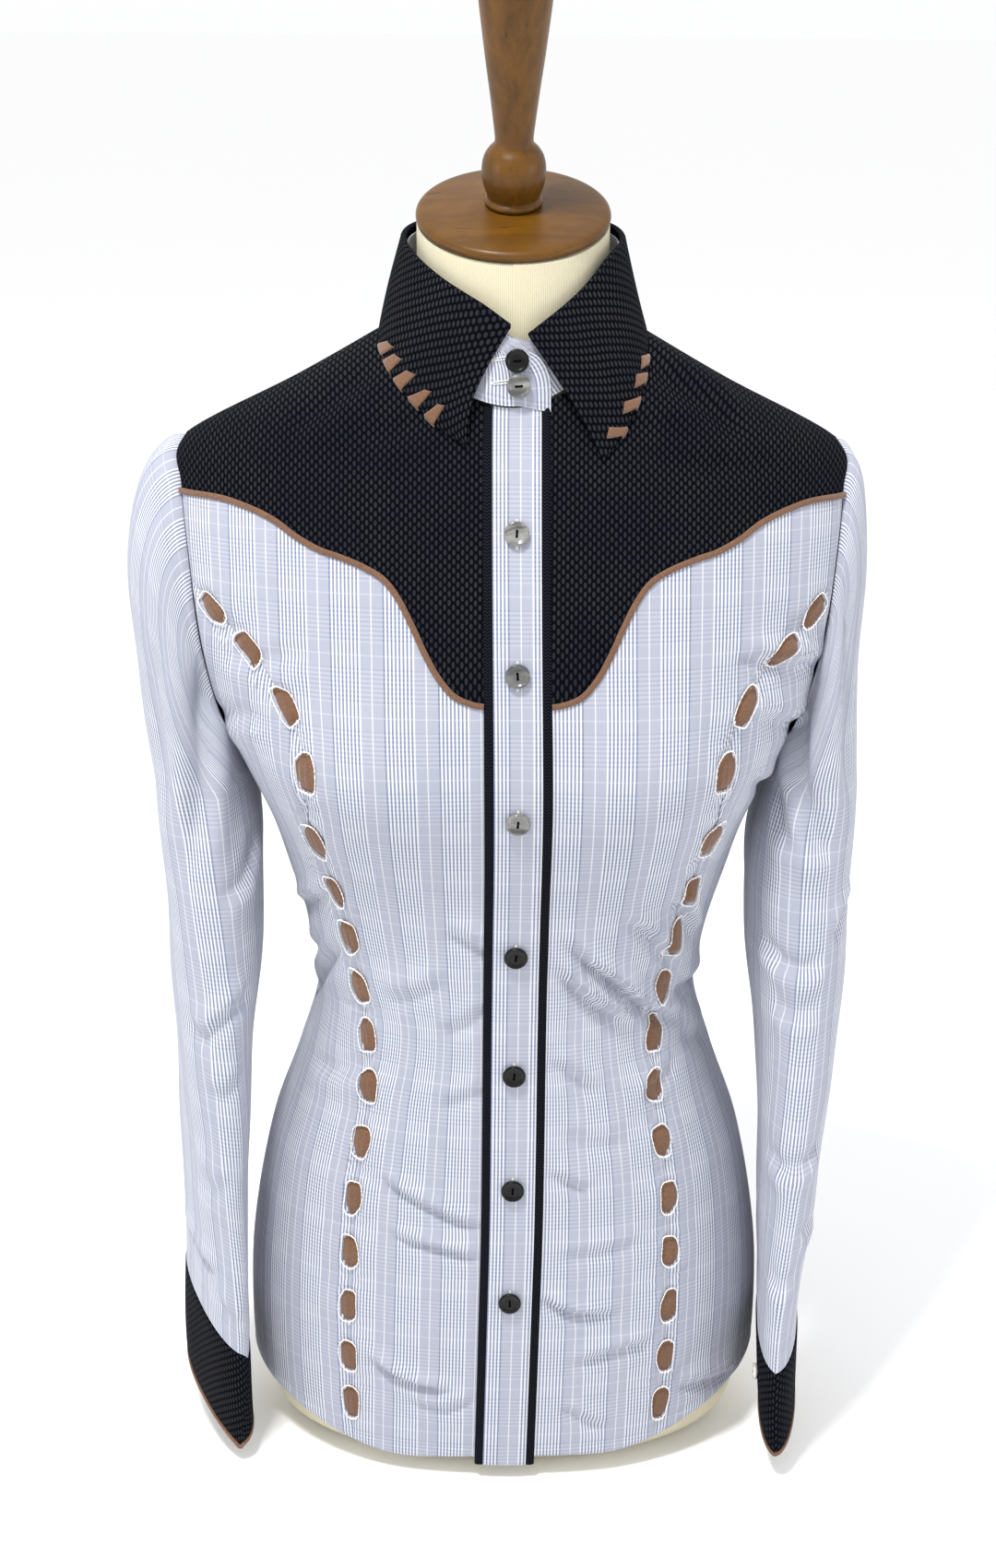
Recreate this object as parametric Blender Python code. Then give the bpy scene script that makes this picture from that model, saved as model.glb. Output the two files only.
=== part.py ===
"""A western shirt on a limbless dress form.

Metres, +Z up, the wearer's front towards -Y. The origin is the middle of the form's flat bottom.
Lengths in the tables are millimetres. A turn is an angle in degrees round the upright axis: 0 is
the middle of the front, 90 the side and 180 the middle of the back, with a minus sign on the -X
side. A level is a height along the cloth, which dips or rises with the neck and shoulders.
"""

import math
from collections import namedtuple

import bpy
from mathutils import Matrix, Vector

MM = 0.001
WALL = 1.2
SEAM_GAP = 0.3
TRIM_LIFT = 0.5
LACE_LIFT = 1.4
LEFT, RIGHT = -1, 1

# Levels where pieces meet.
NECK_LEVEL = 740
SHOULDER_LEVEL = 680
UNDERARM_LEVEL = 465
YOKE_MIDDLE_LEVEL = 532.5
YOKE_SIDE_LEVEL = 645
BACK_YOKE_SIDE_LEVEL = 628
BACK_YOKE_DIP = 26
PRINCESS_TOP_LEVEL = 590
SLEEVE_LEVEL = 455

# The hem: its height at the front and back, its rise over each hip, and how far one side hitches up.
HEM_LEVEL = 13
HEM_RISE = 33
HEM_RISE_TURN = 88
HEM_RISE_SPREAD = 57
HEM_HITCH = 2.5

# The front strip.
PLACKET_HALF = 14.0
BAND_WIDTH = 5.5
UNDER_DEPTH = 2.0

PIPING_WIDTH = 3.6
PIPING_HEIGHT = 1.8
LACE_HEIGHT = 1.3
LACE_HALF = 5.2
LACE_NECK = 0.3

BUTTON_RADIUS = 7.2
BUTTON_HEIGHT = 2.9
CUFF_BUTTON_RADIUS = 5.5

COLLAR_WALL = 1.6
STAND_OVERLAP = 2.4

CAP_RADIUS = 56.5
CAP_TILT = 20
CAP_CENTRE = (0, -2, 793)
CAP_OVERHANG = 0.7

Body = namedtuple("Body", "level front side back width ahead behind square")

# The shirt's outline, one row for each level: the height of the ring at the front, side and back,
# its half width, its depth ahead of the axis and behind it, and how square it is (2 is an ellipse).
SHIRT = [
    Body(-30, -30, -30, -30, 166, 106, 116, 2.2),
    Body(0, 0, 0, 0, 168, 107, 119, 2.2),
    Body(75, 75, 75, 75, 171, 107, 124, 2.2),
    Body(135, 135, 135, 135, 168, 106, 122, 2.2),
    Body(210, 210, 210, 210, 154, 103, 106, 2.2),
    Body(265, 265, 265, 265, 135, 99, 88, 2.2),
    Body(317, 317, 317, 317, 121, 97, 79, 2.2),
    Body(360, 360, 360, 360, 127.5, 99, 80, 2.25),
    Body(400, 400, 400, 400, 138.5, 104, 85, 2.3),
    Body(435, 435, 435, 435, 149, 112, 89, 2.35),
    Body(475, 475, 475, 475, 167, 119, 94, 2.4),
    Body(515, 515, 515, 515, 186, 117, 98, 2.4),
    Body(560, 560, 560, 560, 201, 108, 100, 2.4),
    Body(610, 610, 608, 610, 206, 95, 98, 2.4),
    Body(650, 648, 643, 650, 204, 82, 89, 2.35),
    Body(680, 672, 666, 680, 195, 73, 80, 2.2),
    Body(710, 686, 701, 712, 128, 68, 71, 2.1),
    Body(740, 695, 736, 747, 66, 66, 62, 2.0),
]

# The dress form's outline, with the same columns, up to its neck.
FORM = [
    Body(0, 0, 0, 0, 140, 82, 92, 2.2),
    Body(4, 4, 4, 4, 149, 90, 100, 2.2),
    Body(12, 12, 12, 12, 156, 96, 107, 2.2),
    Body(28, 28, 28, 28, 160, 99, 112, 2.2),
    Body(75, 75, 75, 75, 163, 100, 117, 2.2),
    Body(135, 135, 135, 135, 160, 99, 115, 2.2),
    Body(210, 210, 210, 210, 146, 96, 99, 2.2),
    Body(265, 265, 265, 265, 127, 92, 80, 2.2),
    Body(317, 317, 317, 317, 114, 89, 71, 2.2),
    Body(360, 360, 360, 360, 119, 91, 72, 2.2),
    Body(400, 400, 400, 400, 128, 96, 77, 2.2),
    Body(435, 435, 435, 435, 137, 103, 81, 2.2),
    Body(475, 475, 475, 475, 145, 109, 86, 2.2),
    Body(515, 515, 515, 515, 151, 107, 89, 2.2),
    Body(560, 560, 560, 560, 160, 98, 91, 2.2),
    Body(610, 606, 604, 606, 169, 86, 88, 2.2),
    Body(650, 640, 635, 642, 171, 74, 78, 2.2),
    Body(680, 663, 661, 671, 158, 65, 70, 2.1),
    Body(710, 679, 691, 703, 116, 60, 61, 2.05),
    Body(740, 697, 725, 736, 64, 57, 55, 2.0),
    Body(756, 722, 746, 758, 56, 56, 53, 2.0),
]
BUST_TURN, BUST_SPREAD, BUST_LEVEL, BUST_REACH, BUST_DEPTH = 38, 20, 478, 48, 13

# Soft folds across the shirt: where each is centred, its half length and half width, how far it
# stands out, and its lean from upright towards +X.
Fold = namedtuple("Fold", "turn level length width height lean")
FOLDS = [
    Fold(30, 350, 50, 11, 2.2, -52),
    Fold(34, 318, 42, 9, -1.8, -56),
    Fold(-34, 338, 38, 10, 1.8, 58),
    Fold(-66, 330, 34, 10, 2.0, 70),
    Fold(68, 345, 36, 10, 2.2, -70),
    Fold(-28, 62, 44, 11, 1.8, -48),
    Fold(150, 330, 46, 13, 2.4, -64),
    Fold(-150, 338, 46, 13, 2.4, 64),
    Fold(128, 380, 52, 14, 2.0, 40),
    Fold(-126, 376, 52, 14, 2.0, -40),
]

# How far round the shirt has turned on the form, by level.
TWIST = [(-30, 0.2), (0, 0.5), (100, 1.6), (200, 2.6), (400, 3.0), (500, 2.5), (620, 2.1), (740, 2.5)]

# The laced seam at each side of the front: its turn by level.
PRINCESS = [(-30, 46.5), (0, 47), (80, 49), (200, 50), (272, 49.3), (330, 53.8), (400, 55.8),
            (440, 55.5), (488, 50), (526, 55), (556, 63.5), (590, 76)]
LACE_LEVELS = (47, 82, 119, 158, 196, 235, 272, 304, 336, 370, 402, 438, 488, 526, 556, 576)

# The lower edge of the front yoke: its level by turn.
YOKE_EDGE = [(9, 532.5), (13, 534), (18, 538.5), (22.7, 549), (26.7, 562), (30.7, 577), (35, 591.5),
             (39, 601.5), (44, 608.5), (50, 614.5), (54, 618), (58.7, 625), (63.4, 634.5),
             (68.3, 641.5), (73.2, 645.5), (80.5, 645)]
BUTTON_HEIGHTS = (134, 213, 290, 371, 464, 550, 628)
STAND_BUTTON_HEIGHTS = (708, 722)

# A sleeve hangs as a flattened tube: its middle from the axis and ahead of it, half thickness,
# half breadth and how far its front edge turns in, by height, for each side.
Tube = namedtuple("Tube", "height across ahead thick broad yaw")
SLEEVES = {
    LEFT: [
        Tube(-40, 189, 52, 13, 44, 27),
        Tube(10, 189.5, 50, 13, 45, 27),
        Tube(60, 191, 47, 13.5, 47, 26),
        Tube(120, 190, 42, 14.5, 50, 23),
        Tube(200, 190, 33, 18.5, 53, 18),
        Tube(280, 188.5, 23, 24, 56, 13),
        Tube(350, 186, 13, 29.5, 59, 7),
        Tube(410, 186.5, 5, 31.5, 61, 2),
        Tube(455, 190, 0, 30, 62, 0),
    ],
    RIGHT: [
        Tube(-40, 184, 62, 11, 45, 6),
        Tube(10, 184, 60, 11, 46, 7),
        Tube(60, 182, 57, 12, 48, 7),
        Tube(120, 180.5, 51, 14, 51, 5),
        Tube(200, 184, 41, 19, 54, 3),
        Tube(280, 185.5, 28, 25, 57, 2),
        Tube(350, 184, 16, 31, 60, 0),
        Tube(410, 184, 6, 32.5, 62, 0),
        Tube(455, 189.5, 0, 28, 62, 0),
    ],
}
# How far each sleeve's head puffs out from the shoulder, and leans back in below it.
Head = namedtuple("Head", "puff lean")
HEADS = {LEFT: Head(0.21, 0.13), RIGHT: Head(0.12, -0.1)}
SLEEVE_RING = 20
SLEEVE_SQUARE = 2.3
CUFF_DEPTH = 56
Cuff = namedtuple("Cuff", "tip_bearing seam_high seam_low")
CUFFS = {LEFT: Cuff(112, 112, 64), RIGHT: Cuff(92, 104, 71)}

# The collar: the height and reach of its fold, and the turn and level of its outer edge, from the
# front end to the middle of the back, one table for each side.
Leaf = namedtuple("Leaf", "along fold_turn fold_height fold_reach edge_turn edge_level")
COLLAR = {
    LEFT: [
        Leaf(0.0, 1, 740, 65.5, 21, 682),
        Leaf(0.12, 16, 751, 65, 30, 694),
        Leaf(0.28, 38, 762, 64, 46, 716),
        Leaf(0.42, 62, 772.5, 64, 64, 729),
        Leaf(0.55, 88, 781, 65.5, 88, 735),
        Leaf(0.7, 118, 786, 66, 118, 736),
        Leaf(1.0, 180, 790, 66, 180, 731),
    ],
    RIGHT: [
        Leaf(0.0, 8, 735, 65.5, 33.4, 674),
        Leaf(0.12, 19, 743.5, 65, 41, 692.5),
        Leaf(0.28, 38, 757, 64, 52.5, 716),
        Leaf(0.42, 62, 774, 64, 66, 729),
        Leaf(0.55, 88, 781, 65.5, 88, 735),
        Leaf(0.7, 118, 786, 66, 118, 736),
        Leaf(1.0, 180, 790, 66, 180, 731),
    ],
}
COLLAR_LIFT = 2.6
COLLAR_BULGE = 0.6
COLLAR_STEPS = 14
COLLAR_ROWS = 3
COLLAR_LACE_STEPS = (2, 6)
COLLAR_LACE_SHARES = (0.02, 0.09, 0.16)
STAND_UNDER_END, STAND_OVER_END = 12, 19
STAND_INSET = 3.6
STAND_TOP_GAP = 4.0

# Turned wood: the radius at each distance along the axis.
CAP_PROFILE = [(0, 0), (0, 54), (1.5, CAP_RADIUS - 0.5), (4, CAP_RADIUS), (6, 55.5), (7.2, 53),
               (8.6, 38), (9.6, 20), (9.8, 0)]
FINIAL_PROFILE = [
    (10.1, 0), (10.1, 16.6), (12.5, 17), (15, 15.6), (18, 15.8), (24, 17.4), (31, 18.4), (38, 17.8),
    (43, 15), (46.5, 11.2), (49, 10.9), (66, 12.8), (97, 16.8), (128, 20.4), (142, 21), (152, 18.5),
    (158, 12), (161, 0),
]

PLAID = (0.66, 0.66, 0.76)
BLACK = (0.012, 0.013, 0.02)
SUEDE = (0.27, 0.13, 0.07)
JERSEY = (0.80, 0.74, 0.62)
WOOD = (0.30, 0.13, 0.045)
SMOKE = (0.06, 0.06, 0.065)
PEARL = (0.72, 0.70, 0.66)


def smooth(rows, at):
    """The values of a table at a place, on a smooth curve through its rows."""
    last = len(rows) - 1
    i = 0
    while i < last - 1 and at > rows[i + 1][0]:
        i += 1

    def slope(j, k):
        low, high = max(j - 1, 0), min(j + 1, last)
        return (rows[high][k] - rows[low][k]) / (rows[high][0] - rows[low][0])

    span = rows[i + 1][0] - rows[i][0]
    t = (at - rows[i][0]) / span
    starts, leaves = 2 * t**3 - 3 * t**2 + 1, (t**3 - 2 * t**2 + t) * span
    ends, arrives = 3 * t**2 - 2 * t**3, (t**3 - t**2) * span
    return [
        starts * rows[i][k] + leaves * slope(i, k) + ends * rows[i + 1][k] + arrives * slope(i + 1, k)
        for k in range(1, len(rows[0]))
    ]


def spread(start, end, count):
    """Evenly spaced values from start to end, count steps apart."""
    return [start + (end - start) * i / count for i in range(count + 1)]


def sample(rows, start, end, count):
    """Places and values of a two-column table at even steps."""
    return [(at, smooth(rows, at)[0]) for at in spread(start, end, count)]


def body_point(rows, turn, level):
    """A point on the shirt's or the form's outline."""
    front, side, back, width, ahead, behind, square = smooth(rows, level)
    s, c = math.sin(math.radians(turn)), math.cos(math.radians(turn))
    depth, middle = (ahead, front) if c > 0 else (behind, back)
    reach = ((abs(s) / width) ** square + (abs(c) / depth) ** square) ** (-1 / square)
    if c > 0:
        bearing = math.degrees(math.atan2(abs(s), c))
        beside = math.exp(-(((bearing - BUST_TURN) / BUST_SPREAD) ** 2))
        reach += BUST_DEPTH * beside * math.exp(-(((level - BUST_LEVEL) / BUST_REACH) ** 2))
    return Vector((reach * s, -reach * c, side + (middle - side) * c * c))


def fold_height(turn, level):
    """How far the soft folds stand out at a place on the shirt."""
    total = 0
    for fold in FOLDS:
        across = math.radians((turn - fold.turn + 180) % 360 - 180) * 115
        up = level - fold.level
        lean = math.radians(fold.lean)
        along = up * math.cos(lean) + across * math.sin(lean)
        aside = across * math.cos(lean) - up * math.sin(lean)
        total += fold.height * math.exp(-((along / fold.length) ** 2) - (aside / fold.width) ** 2)
    return total


def shirt_frame(turn, level):
    """A point on the shirt and the direction that its cloth faces there."""
    def plain(a, b):
        shifted = (a + 180) % 360 - 180
        share = max(0, 1 - (shifted / 90) ** 2)
        return body_point(SHIRT, a + smooth(TWIST, b)[0] * share, b)

    point = plain(turn, level)
    round_it = plain(turn + 0.5, level) - plain(turn - 0.5, level)
    up_it = plain(turn, level + 1) - plain(turn, level - 1)
    facing = round_it.cross(up_it).normalized()
    return point + facing * fold_height(turn, level), facing


def shirt(turn, level, out=0.0):
    """A point on the shirt, moved out from its cloth."""
    point, facing = shirt_frame(turn, level)
    return point + facing * out


def hem(turn):
    """The level of the hem at a turn."""
    around = (turn + 180) % 360 - 180
    near = min(1, abs(abs(around) - HEM_RISE_TURN) / HEM_RISE_SPREAD)
    rise = HEM_RISE * math.cos(near * math.pi / 2) ** 2
    return HEM_LEVEL + rise + HEM_HITCH * math.sin(math.radians(around))


def armhole(bearing):
    """Turn and level round the armhole: 0 is its top, 90 its front and 180 the underarm."""
    s, c = math.sin(math.radians(bearing)), math.cos(math.radians(bearing))
    middle = (SHOULDER_LEVEL + UNDERARM_LEVEL) / 2
    level = middle + (SHOULDER_LEVEL - UNDERARM_LEVEL) / 2 * c
    cut = 15 if s > 0 else -17
    return 90 - cut * abs(s) ** 0.9 * (1 - 0.25 * c), level


def armhole_bearing(level):
    """The bearing on the armhole's front where it passes a level."""
    middle = (SHOULDER_LEVEL + UNDERARM_LEVEL) / 2
    return math.degrees(math.acos((level - middle) * 2 / (SHOULDER_LEVEL - UNDERARM_LEVEL)))


YOKE_BEARING = armhole_bearing(YOKE_SIDE_LEVEL)
PRINCESS_BEARING = armhole_bearing(PRINCESS_TOP_LEVEL)
BACK_YOKE_BEARING = 360 - armhole_bearing(BACK_YOKE_SIDE_LEVEL)
ARMHOLE_BEARINGS = (
    spread(0, YOKE_BEARING, 2)
    + spread(YOKE_BEARING, PRINCESS_BEARING, 2)[1:]
    + spread(PRINCESS_BEARING, 180, 6)[1:]
    + spread(180, BACK_YOKE_BEARING, 7)[1:]
    + spread(BACK_YOKE_BEARING, 360, 3)[1:-1]
)


def armhole_stretch(start, end):
    """The armhole's sampled points from one junction to another."""
    bearings = [b for b in ARMHOLE_BEARINGS + [360] if start - 0.01 <= b <= end + 0.01]
    return [armhole(b) for b in bearings]


def mirrored(points, side):
    """Turns and levels for one side of the shirt."""
    return [(side * turn, level) for turn, level in points]


def material(name, colour, roughness, metallic=0.0):
    """A plain finish for one object."""
    made = bpy.data.materials.new(name)
    made.use_nodes = True
    shader = made.node_tree.nodes["Principled BSDF"]
    shader.inputs["Base Color"].default_value = (*colour, 1)
    shader.inputs["Roughness"].default_value = roughness
    shader.inputs["Metallic"].default_value = metallic
    return made


def add_object(name, points, faces, colour, roughness=0.85, centre=(0, 0, 0), turned=None):
    """Adds a closed body, shaded smooth, from points in millimetres."""
    mesh = bpy.data.meshes.new(name)
    mesh.from_pydata([tuple(MM * x for x in p) for p in points], [], faces)
    mesh.shade_smooth()
    mesh.set_sharp_from_angle(angle=math.radians(40))
    mesh.materials.append(material(name, colour, roughness))
    piece = bpy.data.objects.new(name, mesh)
    bpy.context.scene.collection.objects.link(piece)
    place = Matrix.Translation(Vector(centre) * MM)
    piece.matrix_world = place @ turned if turned else place
    return piece


def wall_faces(rows, columns, ring):
    """Faces of a wall between an outer and an inner grid, numbered row by row."""
    inner = rows * columns
    cells = columns if ring else columns - 1
    faces = []
    for i in range(rows - 1):
        for j in range(cells):
            a, b = i * columns + j, i * columns + (j + 1) % columns
            c, d = b + columns, a + columns
            faces += [(a, b, c, d), (inner + a, inner + d, inner + c, inner + b)]
    for j in range(cells):
        low, low_next = j, (j + 1) % columns
        top = (rows - 1) * columns
        faces += [(low_next, low, inner + low, inner + low_next)]
        faces += [(top + low, top + low_next, inner + top + low_next, inner + top + low)]
    if not ring:
        for i in range(rows - 1):
            a, b = i * columns, (i + 1) * columns
            c, d = a + columns - 1, b + columns - 1
            faces += [(a, b, inner + b, inner + a), (d, c, inner + c, inner + d)]
    return faces


def drawn_in(grid, ring, ends=True):
    """A grid with its free edges drawn in by half the seam gap."""
    def towards(p, q):
        return p + (q - p).normalized() * SEAM_GAP / 2

    rows = [list(row) for row in grid]
    if not ring:
        for row, source in zip(rows, grid):
            row[0] = towards(source[0], source[1])
            row[-1] = towards(source[-1], source[-2])
    if ends:
        before = [list(row) for row in rows]
        rows[0] = [towards(p, q) for p, q in zip(before[0], before[1])]
        rows[-1] = [towards(p, q) for p, q in zip(before[-1], before[-2])]
    return rows


def add_wall(name, outer, inner, colour, ring=False, roughness=0.85):
    """A closed wall between two grids whose rows run from the hem upwards, columns towards +turn."""
    outer, inner = drawn_in(outer, ring), drawn_in(inner, ring)
    points = [p for row in outer for p in row] + [p for row in inner for p in row]
    faces = wall_faces(len(outer), len(outer[0]), ring)
    return add_object(name, points, faces, colour, roughness)


def coons(bottom, top, first, last):
    """Turns and levels that fill the space between four edges that share their corners."""
    grid = []
    for i, (start, end) in enumerate(zip(first, last)):
        v = i / (len(first) - 1)
        row = []
        for j, (low, high) in enumerate(zip(bottom, top)):
            u = j / (len(bottom) - 1)
            row.append(tuple(
                (1 - v) * low[k] + v * high[k] + (1 - u) * start[k] + u * end[k]
                - (1 - u) * ((1 - v) * bottom[0][k] + v * top[0][k])
                - u * ((1 - v) * bottom[-1][k] + v * top[-1][k])
                for k in (0, 1)
            ))
        grid.append(row)
    return grid


def add_panel(name, places, colour, side=RIGHT, out=0.0, wall=WALL):
    """A cloth panel over a grid of turns and levels on the +X side, or its mirror image."""
    rows = [mirrored(row, side)[::side] for row in places]
    outer = [[shirt(*place, out) for place in row] for row in rows]
    inner = [[shirt(*place, out - wall) for place in row] for row in rows]
    return add_wall(name, outer, inner, colour)


def strip_turn(level, offset):
    """The turn of a place beside the middle of the front, by its distance across."""
    return math.degrees(math.atan2(offset, smooth(SHIRT, level)[4]))


YOKE_LEVELS = spread(YOKE_MIDDLE_LEVEL, NECK_LEVEL, 6)


def front_edge(offset, steps):
    """The front edge of a centre front, from the hem to the yoke, at a distance across."""
    levels = spread(hem(strip_turn(HEM_LEVEL, offset)), YOKE_MIDDLE_LEVEL, steps)
    return [(strip_turn(level, offset), level) for level in levels]


def princess():
    """The laced seam from the hem to the armhole, with a point at each stitch of its lacing."""
    low = hem(smooth(PRINCESS, HEM_LEVEL)[0])
    levels = (low,) + LACE_LEVELS
    return [(smooth(PRINCESS, level)[0], level) for level in levels] + [armhole(PRINCESS_BEARING)]


def build_fronts(side, name):
    """The centre front, side front and front yoke of one side."""
    inner_offset = PLACKET_HALF + BAND_WIDTH
    seam = princess()
    outer = seam + armhole_stretch(YOKE_BEARING, PRINCESS_BEARING)[::-1][1:]
    edge = front_edge(inner_offset, len(outer) - 1)
    yoke = [edge[-1]] + sample(YOKE_EDGE, YOKE_EDGE[1][0], YOKE_EDGE[-1][0], 8)
    yoke[-1] = armhole(YOKE_BEARING)
    low = [(turn, hem(turn * side)) for turn in spread(edge[0][0], seam[0][0], 9)]
    hitch = [(turn, hem(turn * side)) for turn in spread(seam[0][0], 90, 5)]
    edge[0], outer[0] = low[0], low[-1]
    add_panel(f"front_centre_{name}", coons(low, yoke, edge, outer), PLAID, side)

    side_seam = [(90, level) for level in spread(hitch[-1][1], UNDERARM_LEVEL, len(seam) - 1)]
    scye = armhole_stretch(PRINCESS_BEARING, 180)
    top = [scye[0], scye[1], scye[2], scye[3], scye[4], scye[6]]
    seam[0] = hitch[0]
    add_panel(f"front_side_{name}", coons(hitch, top, seam, side_seam), PLAID, side)

    inner = [(strip_turn(level, inner_offset), level) for level in YOKE_LEVELS]
    shoulder = armhole_stretch(0, YOKE_BEARING)[::-1] + [
        (90, level) for level in spread(SHOULDER_LEVEL, NECK_LEVEL, 4)[1:]
    ]
    neck = [(turn, NECK_LEVEL) for turn in spread(inner[-1][0], 90, 9)]
    inner[0] = yoke[0]
    add_panel(f"yoke_front_{name}", coons(yoke, neck, inner, shoulder), BLACK, side)
    return yoke


def back_yoke_edge():
    """The lower edge of the back yoke, with a shallow point in the middle."""
    start, level = armhole(BACK_YOKE_BEARING)
    places = []
    for share in spread(-1, 1, 14):
        dip = BACK_YOKE_DIP * math.cos(share * math.pi / 2) ** 1.5
        places.append((180 + share * (180 - start), level - dip))
    return places


def build_back():
    """The back panel and the back yoke, from the +X side round to the -X side."""
    edge = back_yoke_edge()
    scye = armhole_stretch(180, BACK_YOKE_BEARING)
    seam = [(90, level) for level in spread(hem(90), UNDERARM_LEVEL, 9)]
    first = seam + scye[1:]
    last_seam = [(270, level) for level in spread(hem(270), UNDERARM_LEVEL, 9)]
    last = last_seam + [(360 - turn, level) for turn, level in scye[1:]]
    low = [(turn, hem(turn)) for turn in spread(90, 270, 14)]
    add_panel("back_panel", coons(low, edge, first, last), PLAID)

    up = armhole_stretch(BACK_YOKE_BEARING, 360)
    first = up[:-1] + [(90, level) for level in spread(SHOULDER_LEVEL, NECK_LEVEL, 3)]
    last = [(360 - turn, level) for turn, level in first]
    neck = [(turn, NECK_LEVEL) for turn in spread(90, 270, 14)]
    add_panel("yoke_back", coons(edge, neck, first, last), BLACK)
    return edge


def build_front_strips():
    """The placket, its two bands and the lap beneath, each from the hem to the neck."""
    levels = spread(HEM_LEVEL - 2, YOKE_MIDDLE_LEVEL, 12) + YOKE_LEVELS[1:]
    strips = [
        ("placket_band_left", -PLACKET_HALF - BAND_WIDTH, -PLACKET_HALF, 0.0, BLACK),
        ("placket_band_right", PLACKET_HALF, PLACKET_HALF + BAND_WIDTH, 0.0, BLACK),
        ("placket", -PLACKET_HALF, 0, 0.7, PLAID),
        ("under_placket", -PLACKET_HALF, 0, -UNDER_DEPTH, PLAID),
    ]
    for name, low, high, out, colour in strips:
        middle = (low + high) / 2 if high else 0
        high = high or PLACKET_HALF
        offsets = (low, middle, high)
        places = [[(strip_turn(level, x), level) for x in offsets] for level in levels]
        add_panel(name, places, colour, out=out)


def beside(place, across, distance):
    """A point on the cloth at a distance to one side of a place, in a direction across it."""
    turn, level = place
    point = shirt(turn, level)
    around = Vector((-point.y, point.x, 0)).normalized()
    step = math.degrees(across.dot(around) * distance / math.hypot(point.x, point.y))
    return shirt(turn + step, level + across.z * distance)


def trim_line(route, half):
    """Left, middle and right of a trim laid on the cloth along a route, with the way it faces."""
    frames = [shirt_frame(*place) for place in route]
    last = len(frames) - 1
    line = []
    for i, (place, (middle, facing)) in enumerate(zip(route, frames)):
        along = frames[min(last, i + 1)][0] - frames[max(0, i - 1)][0]
        across = along.cross(facing).normalized()
        line.append((beside(place, across, -half), middle, beside(place, across, half), facing))
    return line


def strip_along(name, line, height, colour, lift=TRIM_LIFT):
    """A raised trim with a rounded back, from its left, middle and right points."""
    points = []
    for left, middle, right, facing in line:
        raised, shoulder = facing * lift, facing * (lift + height * 0.8)
        points += [
            right + raised,
            right.lerp(middle, 0.25) + shoulder,
            middle + facing * (lift + height),
            left.lerp(middle, 0.25) + shoulder,
            left + raised,
        ]
    count = len(points) // len(line)
    faces = []
    for i in range(len(line) - 1):
        for j in range(count):
            a, b = i * count + j, i * count + (j + 1) % count
            faces.append((a, a + count, b + count, b))
    faces.append(tuple(range(count)))
    faces.append(tuple(range(len(points) - count, len(points)))[::-1])
    return add_object(name, points, faces, colour)


def add_piping(name, edge):
    """Piping along an edge of turns and levels."""
    strip_along(name, trim_line(edge, PIPING_WIDTH / 2), PIPING_HEIGHT, SUEDE)


def necked(line):
    """A trim that narrows halfway between its places, where it passes through the cloth."""
    laced = [line[0]]
    for before, after in zip(line, line[1:]):
        left, middle, right, facing = [(p + q) / 2 for p, q in zip(before, after)]
        neck = (middle.lerp(left, LACE_NECK), middle, middle.lerp(right, LACE_NECK), facing)
        laced += [neck, after]
    return laced


def add_lace(name, side):
    """Lacing along the princess seam."""
    line = trim_line(mirrored(princess(), side)[-2::-1], LACE_HALF)
    strip_along(name, necked(line[:-1]), LACE_HEIGHT, SUEDE, LACE_LIFT)


def tube_point(side, bearing, height, inward=0.0):
    """A point on a hanging sleeve: bearing 0 is outward, 90 ahead and 180 towards the body."""
    across, ahead, thick, broad, yaw = smooth(SLEEVES[side], height)
    s, c = math.sin(math.radians(bearing)), math.cos(math.radians(bearing))
    power = 2 / SLEEVE_SQUARE
    x = (thick - inward) * math.copysign(abs(c) ** power, c)
    y = (broad - inward) * math.copysign(abs(s) ** power, s)
    turn = math.radians(yaw)
    out = across + x * math.cos(turn) - y * math.sin(turn)
    forward = ahead + y * math.cos(turn) + x * math.sin(turn)
    return Vector((side * out, -forward, height))


def cap_point(side, bearing, share, inward=0.0):
    """A point on the head of a sleeve, from the armhole at share 0 to the hanging tube at 1."""
    start, facing = shirt_frame(*mirrored([armhole(bearing)], side)[0])
    end = tube_point(side, bearing, SLEEVE_LEVEL)
    reach = (end - start).length
    s, c = math.sin(math.radians(bearing)), math.cos(math.radians(bearing))
    top = (1 + c) / 2
    leave = Vector((side * (0.15 + 0.95 * top), -0.3 * s, -0.06 - 0.9 * (1 - top))).normalized()
    head = HEADS[side]
    arrive = Vector((-side * head.lean * top, 0, -1)).normalized()
    first, second = start + leave * reach * head.puff, end - arrive * reach * 0.48
    t = share
    point = (
        start * (1 - t) ** 3 + first * 3 * t * (1 - t) ** 2 + second * 3 * t * t * (1 - t) + end * t**3
    )
    centre = Vector((side * (170 + 18 * t), -20 * s * (1 - t), point.z - 25 * (1 - t)))
    inside = (centre - point).normalized()
    if t == 0:
        inside = -facing
    return point + inside * inward


def cuff_height(side, bearing, depth):
    """The height of the pointed cuff seam, moved down by a depth, at a bearing round the sleeve."""
    cuff = CUFFS[side]
    away = abs((bearing - cuff.tip_bearing + 180) % 360 - 180) / 180
    return cuff.seam_low + (cuff.seam_high - cuff.seam_low) * away**0.75 - depth


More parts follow.
